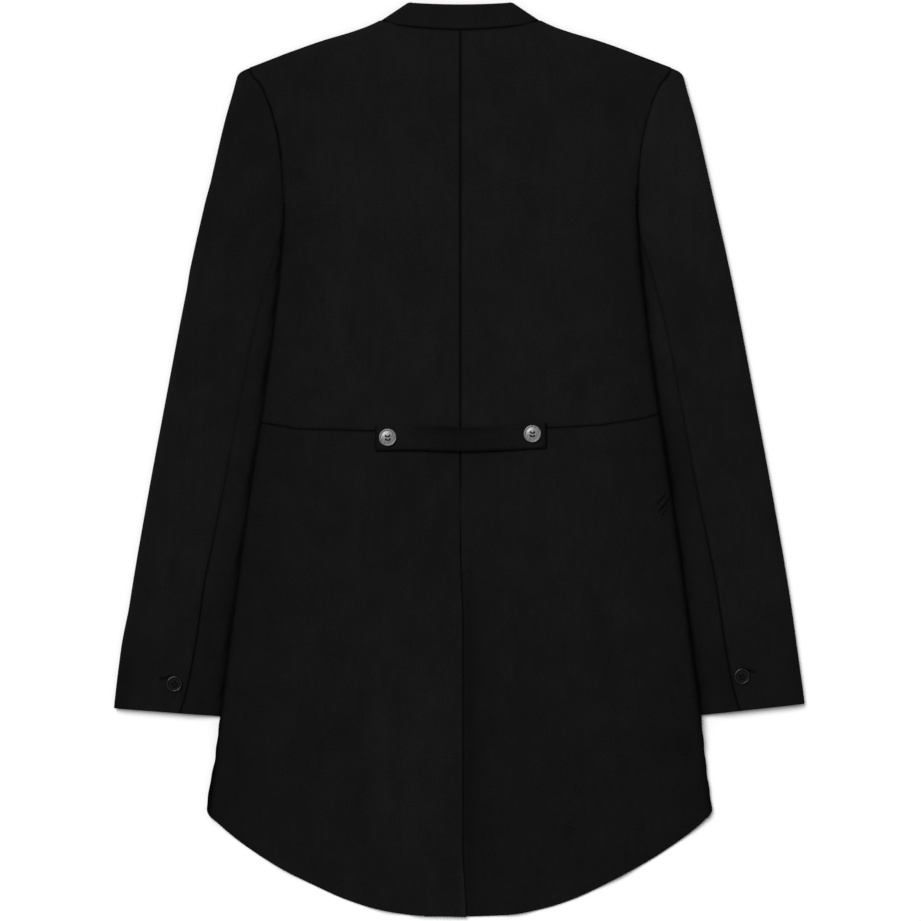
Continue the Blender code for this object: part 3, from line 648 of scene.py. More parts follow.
def back_relief(across, down):
    """How far creases move the back's upper layer. The tail on the floor only rises."""
    out = np.abs(across)
    relief = crease_field((*BACK_CREASES, *PINCHES), across, down) + broad_waves(across, down)
    beside_armhole = back_limit(down) + body_roll(down) * (down > ARMPIT) - out
    relief = relief * np.where(down < ARMPIT + ARMHOLE_CALM_PAST, smooth(beside_armhole / ARMHOLE_CALM), 1.0)
    relief = relief * calm_at_buttons(across, down) * rise(down, shoulder_line(out), COLLAR_CALM)
    return np.where(relief < 0, relief * (1 - tail_share(out, down)), relief)


def sleeve_relief(across, down):
    out = np.abs(across)
    relief = crease_field(SLEEVE_CREASES, across, down) + broad_waves(across, down)
    relief = relief * rise(out, sleeve_edge(down, "upper"), ARMHOLE_CALM) * (1 - under_body(out, down))
    return relief * calm_at_buttons(across, down) * rise(down, CAP_START, CAP_ROUND)


def front_relief(across, down):
    """Creases of the fronts, which only rise from the floor."""
    return np.maximum(crease_field(FRONT_CREASES, across, down), 0.0)


def sleeve_floor_relief(across, down):
    relief = np.maximum(crease_field(SLEEVE_FLOOR_CREASES, across, down), 0.0)
    return relief * (1 - under_body(np.abs(across), down))


def no_relief(across, down):
    return np.zeros_like(across + down)


# Panels as points: outer out and height, then inner out and height

def stretched(column, inner, limit):
    """A column keeps its distance out as far as inner, and beyond that it stretches to the limit."""
    beyond = inner + (column - inner) / (NOMINAL_LIMIT - inner) * (limit - inner)
    return np.where(column <= inner, column + 0 * limit, beyond)


def fold_points(centre, roll, toward, upper, lower, wall, angle):
    """Points round a fold whose centre is given, and whose outside is the roll away from it."""
    turn, middle, half = np.radians(angle), (upper + lower) / 2, (upper - lower) / 2
    return (
        centre + toward * roll * np.cos(turn),
        middle + half * np.sin(turn),
        centre + toward * (roll - wall) * np.cos(turn),
        middle + (half - wall) * np.sin(turn),
    )


def vent_start(side, down):
    """Where the back begins: at the centre seam, and past the centre once the vent opens."""
    lap, slant = (VENT_OVERHANG, 3 * VENT_SLANT) if side == LEFT else (VENT_UNDERLAP, VENT_SLANT)
    drift = VENT_DRIFT * rise(down, *VENT_DRIFTS) if side == LEFT else 0.0
    return SEAM / 2 - (SEAM / 2 + lap) * rise(down, VENT_START, slant) - drift


def back_points(side, kind, value, down):
    """The back or back skirt."""
    bend = body_edge(down) - body_roll(down)
    if kind == "upper":
        near = vent_start(side, down)
        near = near + value / VENT_COLUMNS * (VENT_COLUMNS - near)
        out = np.where(value < VENT_COLUMNS, near, stretched(value, BACK_FIXED, back_limit(down)))
        level = back_level(side, out, down)
        return out, level + WALL, out, level
    if kind == "fold":
        top = back_level(side, bend, down) + WALL
        return fold_points(bend, body_roll(down), 1, top, over_sleeve(bend, down), WALL, value)
    out = mix(bend, side_seam(down) + SEAM / 2, value)
    level = over_sleeve(out, down)
    return out, level, out, level + WALL


def front_points(side, kind, value, down):
    """A front or front skirt, with minus values in the overlap."""
    limit = np.where(down < SIDE_SEAM_TOP, read(ARMHOLE, down, "front"), side_seam(down))
    out = stretched(value, FRONT_FIXED, limit - SEAM / 2)
    level = front_level(side, out, down)
    return out, level, out, level + WALL


def sleeve_layers(kind, value, down, seams, bend, roll, toward):
    """A part of a sleeve, from its upper seam round the fold that starts at bend to its lower seam."""
    if kind == "fold":
        return fold_points(bend, roll, toward, sleeve_height(bend, down), 0.0, SLEEVE_WALL, value)
    if kind == "upper":
        out = mix(seams[0], bend, value)
        height = sleeve_height(out, down)
        return out, height, out, height - SLEEVE_WALL
    out = mix(bend, seams[1], value)
    return out, 0 * out, out, SLEEVE_WALL + 0 * out


def sleeve_points(side, kind, value, down):
    """The top sleeve, which turns round the outer fold."""
    roll, end = sleeve_roll(down), read(SLEEVE_OUTER, down)
    if side == LEFT:
        end = end + read(SLEEVE_EXTRA, down)
    seams = sleeve_edge(down, "upper"), sleeve_edge(down, "lower")
    return sleeve_layers(kind, value, down, seams, end - roll, roll, 1)


def undersleeve_points(side, kind, value, down):
    """The undersleeve, which turns round the inner fold."""
    seams = sleeve_edge(down, "upper") - SEAM, sleeve_edge(down, "lower") - SEAM
    return sleeve_layers(kind, value, down, seams, inner_fold(down) + INNER_ROLL, INNER_ROLL, -1)


# Grids

def graded(length, step, first=True, last=True):
    """Distances along a length, close together at the edges that are named."""
    head = np.array(EDGE_STEPS if first else (0,), float)
    tail = np.array(EDGE_STEPS if last else (0,), float)
    between = length - head[-1] - tail[-1]
    count = max(2, math.ceil(between / step))
    middle = head[-1] + between * np.arange(1, count) / count
    return np.concatenate((head, middle, length - tail[::-1]))


def shares(length, step, first=True, last=True):
    return graded(length, step, first, last) / length


def settle(edge, points, side, kind, values):
    """The down at which each column reaches an edge that is given by its distance out."""
    down = np.full(len(values), SETTLE_FROM)
    for _ in range(SETTLE_ROUNDS):
        down = edge(points(side, kind, values, down)[0])
    return down


def reach(points, side, zones, edge):
    """Where each column meets an edge: a down or a function of the distance out, for all or by kind."""
    edges = edge if isinstance(edge, dict) else dict.fromkeys(zones, edge)
    downs = []
    for kind, values in zones.items():
        edge = edges.get(kind, math.nan)
        downs.append(settle(edge, points, side, kind, values) if callable(edge) else edge + 0 * values)
    return np.concatenate(downs)


def new_panel(side, down, outer, inner, up, **more):
    """A panel's grids. Its layers hold distances out and heights, and up is 1 where it faces up."""
    layers = {"outer": np.stack(outer, -1), "inner": np.stack(inner, -1)}
    return {"side": side, "down": down, "up": up, "joined": np.zeros(down.shape, bool), **layers, **more}


def lay_out(points, side, zones, stages):
    """A panel whose rows run down and columns across. Each stage has its rows' shares and two edges."""
    downs = []
    for rows, *edges in stages:
        top, bottom = (reach(points, side, zones, edge) for edge in edges)
        downs.append(mix(top, bottom, rows[:, None]))
    down = np.vstack([rows[:-1] for rows in downs[:-1]] + [downs[-1]])
    parts, facing, first = [], [], 0
    for kind, values in zones.items():
        here = down[:, first : first + len(values)]
        first += len(values)
        parts.append(np.stack(points(side, kind, values[None, :] + 0 * here, here)))
        up = {"upper": 1.0, "fold": (1 + np.sin(np.radians(values))) / 2}.get(kind, 0.0)
        facing.append(up + 0 * here)
    layers = np.concatenate(parts, axis=2)
    return new_panel(side, down, layers[:2], layers[2:], np.concatenate(facing, axis=1))


def unrolled(panel):
    """Distance across the flat cut, from the centre line or the first column."""
    outer = panel["outer"]
    steps = np.linalg.norm(np.diff(outer, axis=1), axis=2)
    start = outer[:, :1, 0]
    return np.concatenate((start, start + np.cumsum(np.nan_to_num(steps), axis=1)), axis=1)


def whole_cells(panel):
    real = np.isfinite(panel["down"])
    return real[:-1, :-1] & real[:-1, 1:] & real[1:, :-1] & real[1:, 1:]


def corner_cells(cells):
    """How many cells meet at each point."""
    wide = np.pad(cells.astype(int), 1)
    return wide[:-1, :-1] + wide[:-1, 1:] + wide[1:, :-1] + wide[1:, 1:]


def cell_areas(across, down):
    """The area of each cell on the flat cut."""
    one = (across[1:, 1:] - across[:-1, :-1]), (down[1:, 1:] - down[:-1, :-1])
    two = (across[1:, :-1] - across[:-1, 1:]), (down[1:, :-1] - down[:-1, 1:])
    return np.abs(one[0] * two[1] - one[1] * two[0]) / 2


# Edges as they are sewn

def nearest(across, down, marks):
    """Each point's distance, on the flat cut, to the nearest marked point."""
    if not marks.any():
        return np.full(down.shape, FAR)
    mark_across, mark_down = across[marks], down[marks]
    rows = []
    for row_across, row_down in zip(across, down):
        squares = (row_across[:, None] - mark_across) ** 2 + (row_down[:, None] - mark_down) ** 2
        rows.append(np.sqrt(squares.min(axis=1)))
    return np.stack(rows)


def edge_marks(panel, cells, free):
    """Which points lie on a sewn edge and which on a free one. free names the free edges."""
    border = (corner_cells(cells) < 4) & np.isfinite(panel["down"]) & ~panel["joined"]
    open_edge = np.zeros(border.shape, bool)
    sewn = border.copy()
    for name in free:
        sewn[BORDERS[name]] = False
    for name, where in BORDERS.items():
        state = free.get(name, False)
        is_free = state(panel["down"][where]) if callable(state) else state
        open_edge[where] |= border[where] & is_free
        sewn[where] |= border[where] & np.logical_not(is_free)
    return sewn, open_edge


def drop(distance, radius):
    """How far a rounded edge lies below the flat surface."""
    inside = radius - np.minimum(distance, radius)
    return radius - np.sqrt(radius**2 - inside**2)


def body_strength(across, down):
    """How deep the body's seams are: deeper at the armpits, and faint below the belt."""
    out = np.abs(across)
    at_armhole = (out > ARMHOLE_FROM) * (down < ARMPIT + 2)
    armhole = (ARMPIT_DEEPER * rise(down, *TO_ARMPIT) - ARMHOLE_FAINTER) * at_armhole
    waist = WAIST_FAINTER * (down > WAIST_ROWS[0]) * (down < WAIST_ROWS[1]) * (out > BELT_END)
    below_belt = CENTRE_FAINTER * rise(down, *BELOW_BELT) * (out < CENTRE_HALF)
    collar_end = COLLAR_FAINTER * rise(out, *COLLAR_END) * (down < COLLAR_ROWS)
    return 1 + armhole - waist - below_belt - collar_end


def sleeve_strength(across, down):
    """The elbow seam is faint at the armpit and deeper towards the cuff's vent."""
    armhole = 1 - ARMHOLE_FAINTER + ARMPIT_DEEPER * rise(down, *TO_ARMPIT)
    at_armpit, at_cuff = np.where(across < 0, ELBOW_DEPTH[LEFT], ELBOW_DEPTH[RIGHT]), CUFF_DEPTH
    elbow = mix(at_armpit, at_cuff, rise(down, *TO_CUFF))
    return np.where(down < ARMPIT, armhole, elbow)


def collar_strength(across, down):
    return 1 - COLLAR_FAINTER * rise(np.abs(across), *COLLAR_END)


def finish_edges(panel, cells, free, strength, flat):
    """Rounds the edges, and raises the sewn ones over the allowances that are pressed inside.

    flat holds the places on the cut as distances across and down, for a panel that isn't simply
    unrolled. Such a panel has no allowances that show.
    """
    across, down = flat or (unrolled(panel), panel["down"])
    sewn, open_edge = edge_marks(panel, cells, free)
    from_seam, from_open = nearest(across, down, sewn), nearest(across, down, open_edge)
    wall = panel["outer"] - panel["inner"]
    direction = wall / np.linalg.norm(wall, axis=2, keepdims=True)
    hump = HUMP_HEIGHT * smooth(1 - np.abs(from_seam - HUMP_AT) / HUMP_HALF)
    pucker = PUCKER_HEIGHT * np.exp(-from_seam / PUCKER_REACH) * smooth(from_seam / SEAM_SHADE_REACH)
    pucker = pucker * np.sin(2 * math.pi * (across + down) / PUCKER_LENGTH)
    raised = (panel["up"] > FACES_UP) & (flat is None)
    depth = strength(panel["side"] * panel["outer"][..., 0], panel["down"])
    seam_drop, open_drop = drop(from_seam, SEAM_ROUND) * depth, drop(from_open, FREE_ROUND)
    outside = np.where(raised, hump + pucker, 0.0) - np.maximum(seam_drop, open_drop)
    panel["outer"] = panel["outer"] + direction * outside[..., None]
    panel["inner"] = panel["inner"] + direction * open_drop[..., None]
    # A painted shade along the sewn edges, darkest at the seam, unless the panel brings its own.
    panel.setdefault("seam", np.exp(-((from_seam / SEAM_SHADE_REACH) ** 2)) * np.minimum(depth, 1.0))
    width, length = np.ptp(across[np.isfinite(down)]), np.ptp(down[np.isfinite(down)])
    panel["flat"] = (width * MM, length * MM)
    panel["area"] = min(cell_areas(across, down)[cells].sum(), width * length) * MM * MM


# Panels as objects

def wall_faces(cells):
    """Faces of a closed wall: the outer sheet, the inner sheet and the strip between their borders."""
    rows, columns = cells.shape
    index = np.arange((rows + 1) * (columns + 1)).reshape(rows + 1, columns + 1)
    inward = index.size
    a, b, c, d = index[:-1, :-1], index[:-1, 1:], index[1:, 1:], index[1:, :-1]
    wide = np.pad(cells, 1)
    faces = [np.stack([a, b, c, d], -1)[cells], np.stack([d, c, b, a], -1)[cells] + inward]
    beyond = (wide[:-2, 1:-1], wide[1:-1, 2:], wide[2:, 1:-1], wide[1:-1, :-2])
    for start, end, neighbour in zip((a, b, c, d), (b, c, d, a), beyond):
        on_border = cells & ~neighbour
        s, e = start[on_border], end[on_border]
        faces.append(np.stack([s + inward, e + inward, e, s], -1))
    return np.concatenate(faces)


def signed_volume(points, faces):
    a, b, c, d = (points[faces[:, k]] for k in range(4))
    return (np.einsum("ij,ij->i", a, np.cross(b, c)) + np.einsum("ij,ij->i", a, np.cross(c, d))).sum()


def in_metres(panel, layer):
    out, height = panel[layer][..., 0], panel[layer][..., 1]
    return np.stack([panel["side"] * out, DATUM_TO_MIDDLE - panel["down"], height], -1) * MM


def new_object(name, data):
    made = bpy.data.objects.new(name, data)
    bpy.context.scene.collection.objects.link(made)
    return made


def add_piece(name, mesh, *materials):
    """A piece that rides on the coat."""
    for material in materials:
        mesh.materials.append(material)
    piece = new_object(name, mesh)
    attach(piece, "root")
    return piece


def cloth(name, panel, cells, material):
    """The closed wall of a panel as a piece, with the painted shade along its seams and its painted light and
    shade.
    """
    points = np.concatenate([in_metres(panel, layer).reshape(-1, 3) for layer in ("outer", "inner")])
    used, faces = np.unique(wall_faces(cells), return_inverse=True)
    points, faces = points[used], faces.reshape(-1, 4)
    if signed_volume(points, faces) < 0:
        faces = faces[:, ::-1]
    mesh = bpy.data.meshes.new(name)
    mesh.from_pydata(points.tolist(), [], faces.tolist())
    # The painted shade along the seams and the painted light and shade go with the mesh as attributes.
    for key in ("seam", "tone"):
        values = np.tile(panel[key].reshape(-1), 2)[used]
        mesh.attributes.new(key, "FLOAT", "POINT").data.foreach_set("value", values.astype(np.float32))
    mesh.shade_smooth()
    return add_piece(name, mesh, material)


def sew(body, panel, material, free, strength=body_strength, flat=None):
    cells = whole_cells(panel)
    finish_edges(panel, cells, free, strength, flat)
    piece = cloth(f"cloth_{body}", panel, cells, material)
    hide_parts(body)


def sew_creased(body, panel, relief, tone, material, free, strength=body_strength):
    """Adds creases and painted light and shade to a laid-out panel, and sews it. relief is that above and
    beneath.
    """
    across, down = panel["side"] * panel["outer"][..., 0], panel["down"]
    above, beneath = (layer(across, down) for layer in relief)
    for layer in ("outer", "inner"):
        panel[layer][..., 1] += panel["up"] * above + (1 - panel["up"]) * beneath
    panel["tone"] = tone(panel)
    sew(body, panel, material, free, strength)


# Painted light and shade: 1 is the wool's own brightness. Stretches are pairs of a start and a run.

def body_painted_shading(panel):
    """Painted shadow along the rolled sides and beside the vent, and painted light and shade over the rest of
    the body.
    """
    out, down = panel["outer"][..., 0], panel["down"]
    inward = body_edge(down) - out
    line = BODY_LINE[panel["side"]] * fall(inward, 0, BODY_LINE_REACH) * (down > ARMPIT - 1)
    beside_fold = 1 - sum(share * fall(inward, 0, width) for share, width in FOLD_SHADES) - line
    beside_armhole = 1 - ARMHOLE_SHADE * rise(out, *OUTER_BACK)
    tone = np.maximum(mix(beside_armhole, beside_fold, rise(down, *ROUND_ARMPIT)), DARKEST)
    tone = tone * (BODY_TONE + UPPER_LIGHT * fall(down, *ABOVE_WAIST) - LOW_SHADE * rise(down, *LOW_SKIRT))
    tone = tone * (1 + CREASE_SHADE * crease_field(BACK_CREASES, panel["side"] * out, down))
    # Painted light beside the vent's edge, which lifts the dark there.
    lit = VENT_LIGHT * rise(down, *VENT_LIT)
    if panel["side"] == LEFT:
        tone = tone + lit * fall(out, -VENT_OVERHANG, VENT_LIGHT_REACH[LEFT])
        band = smooth(1 - np.abs(out - LIGHT_BAND[0]) / LIGHT_BAND[1])
        return tone * (1 + BAND_LIGHT * band * rise(down, *BAND_START) * fall(down, *BAND_END))
    tone = tone + lit * fall(out, VENT_OVERHANG, VENT_LIGHT_REACH[RIGHT])
    along = rise(down, *VENT_SHADE) * (1 - 0.5 * rise(down, *VENT_SHADE_END))
    for share, width in VENT_SHADES:
        tone = tone - share * along * smooth(1 - (out + VENT_OVERHANG) / width)
    tone = tone * (1 + PINCH_SHADE * crease_field(PINCHES, out, down))
    return tone * (1 - RIGHT_SHADE * rise(down, *RIGHT_SKIRT))


def sleeve_painted_shading(panel):
    """Painted shade on the top sleeve at the outer fold, near the cuff and towards the left cuff's corner,
    painted light at the right cap.
    """
    out, down = panel["outer"][..., 0], panel["down"]
    inward = read(SLEEVE_OUTER, down) - out
    share, width = OUTER_SHADE
    tone = SLEEVE_TONE - share * fall(inward, 0, width) * mix(OUTER_SHADE_TOP, 1, rise(down, *LOWER_SLEEVE))
    tone = tone * (1 + CAP_LIGHT[panel["side"]] * fall(down, *SLEEVE_CAP))
    if panel["side"] == LEFT:
        share, width = CORNER_SHADE
        tone = tone - share * fall(inward, 0, width) * rise(down, *CUFF_CORNER_SHADE)
    return tone - CUFF_SHADE * rise(down, *NEAR_CUFF)


def undersleeve_painted_shading(panel):
    """Painted shade: the undersleeve lies in the body's painted shadow, which is darkest along the body's
    edge.
    """
    apart, down = panel["outer"][..., 0] - body_edge(panel["down"]), panel["down"]
    shade, shades, soft, line, line_reach = UNDERSLEEVE_SHADE[panel["side"]]
    for share, start, run in shades:
        shade = shade + share * rise(down, start, run)
    beside = soft * fall(apart, 0, SOFT_REACH) + line * fall(apart, 0, line_reach)
    return np.maximum(1 - shade - beside, DARKEST)


def no_painted_shading(panel):
    return np.ones_like(panel["down"])


# The coat's panels

def back_zones(extra):
    return {
        "upper": np.union1d(graded(NOMINAL_LIMIT, UPPER_STEP), extra),
        "fold": FOLD_ANGLES,
        "lower": shares(SIDE_SEAM_INSET - BODY_ROLL, UNDER_STEP, first=False),
    }


def wave_sides(panel):
    """Moves the body's side fold in and out a little, and the left hem corner further out."""
    side, down = panel["side"], panel["down"]
    wave = HEM_CORNER_OUT * rise(down, *HEM_CORNER) * (side == LEFT)
    wave = wave + sum(h * np.sin(f * down + phase + side) for f, h, phase in EDGE_WAVES)
    wave = wave * smooth(1 - (body_edge(down) - panel["outer"][..., 0]) / EDGE_REACH)
    for layer in ("outer", "inner"):
        panel[layer][..., 0] += wave


def make_back(word, side, material):
    zones = back_zones(extra=(NECK_OUT - NECK_CORNER, NECK_OUT, NECK_OUT + NECK_CORNER))
    wrap_top = ARMPIT + (SIDE_SEAM_TOP - ARMPIT) * zones["lower"]
    tops = {"upper": ARMPIT, "fold": ARMPIT, "lower": wrap_top}
    panel = lay_out(back_points, side, zones, [
        (shares(ARMPIT - NECK_POINT_DOWN, UPPER_STEP), {"upper": shoulder_line}, {"upper": ARMPIT}),
        (shares(BACK_LENGTH, UPPER_STEP), tops, waist_edge(side, -SEAM / 2)),
    ])
    past_armhole = np.arange(panel["down"].shape[1]) >= len(zones["upper"]) - 1
    panel["joined"] = (panel["down"] == ARMPIT) & past_armhole & (panel["up"] > JOINED_UP)
    wave_sides(panel)
    sew_creased(f"back_{word}", panel, (back_relief, no_relief), body_painted_shading, material, {})


def make_back_skirt(word, side, material):
    pinched = side == RIGHT
    zones = back_zones(extra=np.arange(*PINCH_COLUMNS) if pinched else ())
    rows = shares(SKIRT_LENGTHS[0], UPPER_STEP, last=False)
    if pinched:
        rows = np.union1d(rows, np.arange(*PINCH_ROWS))
    fold_end = HEM_FOLD[0] + HEM_FOLD[1] * zones["fold"] / 90
    panel = lay_out(back_points, side, zones, [
        (rows, waist_edge(side, SEAM / 2), VENT_ROW),
        (shares(SKIRT_LENGTHS[1], UPPER_STEP, first=False), VENT_ROW,
         {"upper": hem_line(side), "fold": fold_end, "lower": cutaway}),
    ])
    wave_sides(panel)
    free = {"bottom": True, "first": lambda down: down > VENT_START}
    sew_creased(f"back_skirt_{word}", panel, (back_relief, no_relief), body_painted_shading, material, free)


def make_fronts(word, side, material):
    zones = {"lower": graded(NOMINAL_LIMIT + FRONT_OVERLAP, UNDER_STEP) - FRONT_OVERLAP}
    front = [
        (shares(FRONT_LENGTHS[0], UNDER_STEP, last=False), front_top, SIDE_SEAM_TOP),
        (shares(FRONT_LENGTHS[1], UNDER_STEP, first=False), SIDE_SEAM_TOP, waist_edge(side, -SEAM / 2)),
    ]
    skirt = [(shares(FRONT_SKIRT_LENGTH, UNDER_STEP), waist_edge(side, SEAM / 2), cutaway)]
    for body, stages, free in (("front", front, {}), ("front_skirt", skirt, {"bottom": True})):
        panel = lay_out(front_points, side, zones, stages)
        relief = (no_relief, front_relief)
        free = {"first": True, **free}
        sew_creased(f"{body}_{word}", panel, relief, no_painted_shading, material, free)


def make_sleeve(word, side, material):
    def zones(widths, step):
        upper, lower = shares(widths[0], step), shares(widths[1], UNDER_STEP, first=False)
        return {"upper": upper, "fold": FOLD_ANGLES, "lower": lower}

    top = lay_out(sleeve_points, side, zones(TOP_SLEEVE_WIDTHS, UPPER_STEP), [
        (shares(ARMPIT - CAP_START, UPPER_STEP, last=False), cap_line, ARMPIT),
        (shares(SLEEVE_LENGTH, UPPER_STEP, first=False), ARMPIT, cuff_line(side)),
    ])
    under = lay_out(undersleeve_points, side, zones(UNDERSLEEVE_WIDTHS, UNDER_STEP), [
        (shares(SLEEVE_LENGTH, UPPER_STEP), ARMPIT, cuff_line(side)),
    ])
    for body, panel, relief, tone in (
        ("sleeve_top", top, (sleeve_relief, sleeve_floor_relief), sleeve_painted_shading),
        ("sleeve_under", under, (no_relief, no_relief), undersleeve_painted_shading),
    ):
        cuff = {"bottom": True}
        sew_creased(f"{body}_{word}", panel, relief, tone, material, cuff, sleeve_strength)


def collar_half():
    """Sections of half of the band collar, from the centre back round the side fold to the front.

    Each has the sewn and free edges as (out, down), the outer and inner heights, how far the
    inner side lies nearer the centre, and how far the section faces up.
    """
    bottom = float(read(LOFT, shoulder_line(0), "middle"))
    sections = []
    for out in graded(NECK_OUT - COLLAR_ROLL, UPPER_STEP, first=False, last=False):
        share = out / NECK_OUT
        free = (COLLAR_FREE_OUT * share, COLLAR_FREE_DOWN + COLLAR_DIP * (1 - share * share))
        sections.append(((out, float(shoulder_line(out)) - SEAM), free, bottom + WALL, bottom, 0.0, 1.0))
    for angle in FOLD_ANGLES:
        out, height, inner_out, inner_height = fold_points(
            NECK_OUT - COLLAR_ROLL, COLLAR_ROLL, 1, bottom + WALL, 0.0, WALL, angle,
        )
        turn = math.radians(angle)
        free = (COLLAR_FREE_OUT - COLLAR_ROLL * (1 - math.cos(turn)), COLLAR_FREE_DOWN)
        sewn = (out, float(shoulder_line(out)) - SEAM)
        sections.append((sewn, free, height, inner_height, out - inner_out, (1 + math.sin(turn)) / 2))
    for turn in np.radians(COLLAR_FRONT_ANGLES):
        round_neck = np.array((math.sin(turn), math.cos(turn)))
        neckline = FRONT_NECK_OUT - NECK_GAP, FRONT_NECK_DEPTH - NECK_GAP
        sewn = (0, NECK_POINT_DOWN - NECK_GAP) + round_neck * neckline
        free = (0, COLLAR_FREE_DOWN) + round_neck * (COLLAR_FREE_OUT - COLLAR_ROLL, COLLAR_FRONT_DEPTH)
        sections.append((sewn, free, 0.0, WALL, 0.0, 0.0))
    return sections


def make_collar(material):
    """The band collar, a flattened ring that is open at the centre front."""
    half = collar_half()
    rows = shares(COLLAR_WIDTH, COLLAR_STEP)
    columns = []
    for side, section in [(LEFT, s) for s in reversed(half)] + [(RIGHT, s) for s in half[1:]]:
        sewn, free, outer, inner, inner_by, up = section
        out, down = (mix(start, end, rows) for start, end in zip(sewn, free))
        lift = front_level(side, out, down) if up == 0 else 0 * rows
        columns.append((side * out, down, outer + lift, side * (out - inner_by), inner + lift, up + 0 * rows))
    across, down, outer, inner_across, inner, up = np.array(columns).transpose(1, 2, 0)
    # The collar's painted light and shade is one even level.
    tone = np.full(down.shape, COLLAR_TONE)
    panel = new_panel(1, down, (across, outer), (inner_across, inner), up, tone=tone)
    points = np.stack([across, down, outer], -1)
    along = np.linalg.norm(np.diff(points, axis=1), axis=2).mean(axis=0)
    walked = np.concatenate(([0], np.cumsum(along)))[None, :] + 0 * across
    depth = np.linalg.norm(points - points[:1], axis=2)
    free = {"bottom": True, "first": True, "last": True}
    sew("collar", panel, material, free, collar_strength, (walked, depth))


def belt_underside(across, down):
    """The belt lies on the creased back at its ends and stands a little free between its buttons."""
    out = np.abs(across)
    level = np.where(across > 0, back_level(RIGHT, out, down), back_level(LEFT, out, down))
    free = BELT_FREE * np.maximum(0.0, 1 - (across / BELT_FREE_HALF) ** 2)
    return level + WALL + back_relief(across, down) + BELT_SEAT + free


def make_belt(material):
    first, last = BELT["across"][0], BELT["across"][-1]
    across = (first + graded(last - first, BELT_STEPS[0]))[None, :]
    rows = shares(BELT_WIDTH, BELT_STEPS[1])[:, None]
    top = read(BELT, across, "top")
    down = mix(top, read(BELT, across, "bottom"), rows)
    across = across + 0 * down
    height = belt_underside(across, down)
    # Painted shade: a darker middle and a painted shadow under the upper edge; the seam shade paints the ends
    # and bottom darker.
    middle = smooth(1 - np.abs(across) / BELT_SHADE_HALF)
    shadow = smooth(1 - (down - top) / BELT_SHADOW_DEPTH)
    shadow = shadow * smooth(1 - np.abs(across - BELT_SHADOW_MIDDLE) / BELT_SHADOW_HALF)
    from_end = np.minimum(across - first, last - across)
    from_bottom = (1 - rows) * BELT_WIDTH + 0 * down
    panel = new_panel(
        1, down, (across, height + BELT_WALL), (across, height), np.ones_like(down),
        tone=1 - BELT_SHADE * middle - BELT_SHADOW * shadow,
        seam=np.exp(-(np.minimum(from_end / BELT_EDGE_SHADE[0], from_bottom / BELT_EDGE_SHADE[1]) ** 2)),
    )
    sew("half_belt", panel, material, dict.fromkeys(BORDERS, True))


# Buttons and sewing

# A button's turned profile: share of the radius, and height above its underside.
PEARL_PROFILE = {
    "radius": (0, 0.84, 0.93, 0.985, 1, 1, 0.985, 0.955, 0.92, 0.88, 0.84,
               0.81, 0.78, 0.755, 0.73, 0.69, 0.62, 0.52, 0.38, 0.2, 0),
    "height": (0, 0, 0.12, 0.42, 0.8, 1.5, 1.95, 2.28, 2.45, 2.45, 2.22,
               1.86, 1.5, 1.36, 1.38, 1.48, 1.66, 1.86, 2.03, 2.12, 2.15),
}
BLACK_PROFILE = {
    "radius": (0, 0.82, 0.92, 0.98, 1, 1, 0.985, 0.955, 0.92, 0.88,
               0.845, 0.815, 0.79, 0.765, 0.74, 0.7, 0.5, 0.25, 0),
    "height": (0, 0, 0.12, 0.4, 0.8, 1.5, 1.95, 2.3, 2.46, 2.5,
               2.42, 2.2, 1.9, 1.66, 1.54, 1.5, 1.5, 1.5, 1.5),
}
BUTTON_TURNS = {
    "belt_button_left": 0.06, "belt_button_right": -0.1, "cuff_button_left": 0.7, "cuff_button_right": 0.35,
}
BUTTON_SEGMENTS = 72
SHARP_ANGLE = math.radians(38)
DULL_SHARE = 0.76
HOLE_SEGMENTS = 20
HOLE_RADIUS = 0.85
HOLE_ACROSS = 2.1
HOLE_DOWN = 1.7
HOLES = [(x, y) for x in (-HOLE_ACROSS, HOLE_ACROSS) for y in (-HOLE_DOWN, HOLE_DOWN)]
PIN_LENGTH = 8.0

THREAD_RADIUS = 0.54
STRAND_ASIDE = 0.34
STITCH_STEPS = 16
STITCH_STEEPNESS = 1.9
STITCH = {"low": 0.4, "high": 2.35, "bow": -1.0}
# The shank's strands start nearer the middle, below the button's seat.
SHANK_FOOT = (0.8, -LAYER_GAP - 0.2)
SHANK_TOP = 0.9
SHANK_RADIUS = 0.55

BUTTONHOLES = {"left": (-294.5, 677.5), "right": (289.5, 670.5)}
BUTTONHOLE_LENGTH = 14.0
BUTTONHOLE_WIDTH = 1.5
BUTTONHOLE_SLIT = 0.25
BUTTONHOLE_TILT = -0.24
BUTTONHOLE_STITCHES = 52
WORKED_HEIGHT = 0.32
WORKED_LIFT = 0.02
WORKED_RADIUS = 0.24


def mesh_from(bm, name):
    mesh = bpy.data.meshes.new(name)
    bm.to_mesh(mesh)
    bm.free()
    return mesh


def circle(count):
    return [(math.cos(2 * math.pi * k / count), math.sin(2 * math.pi * k / count)) for k in range(count)]


def bridge(bm, rings):
    """Faces between rings of corners, one after the other. A ring may be a single corner."""
    count = max(len(ring) for ring in rings)
    for lower, upper in zip(rings, rings[1:]):
        for k in range(count):
            n = (k + 1) % count
            places = (lower, k), (lower, n), (upper, n), (upper, k)
            corners = [ring[at % len(ring)] for ring, at in places]
            bm.faces.new(list(dict.fromkeys(corners)))


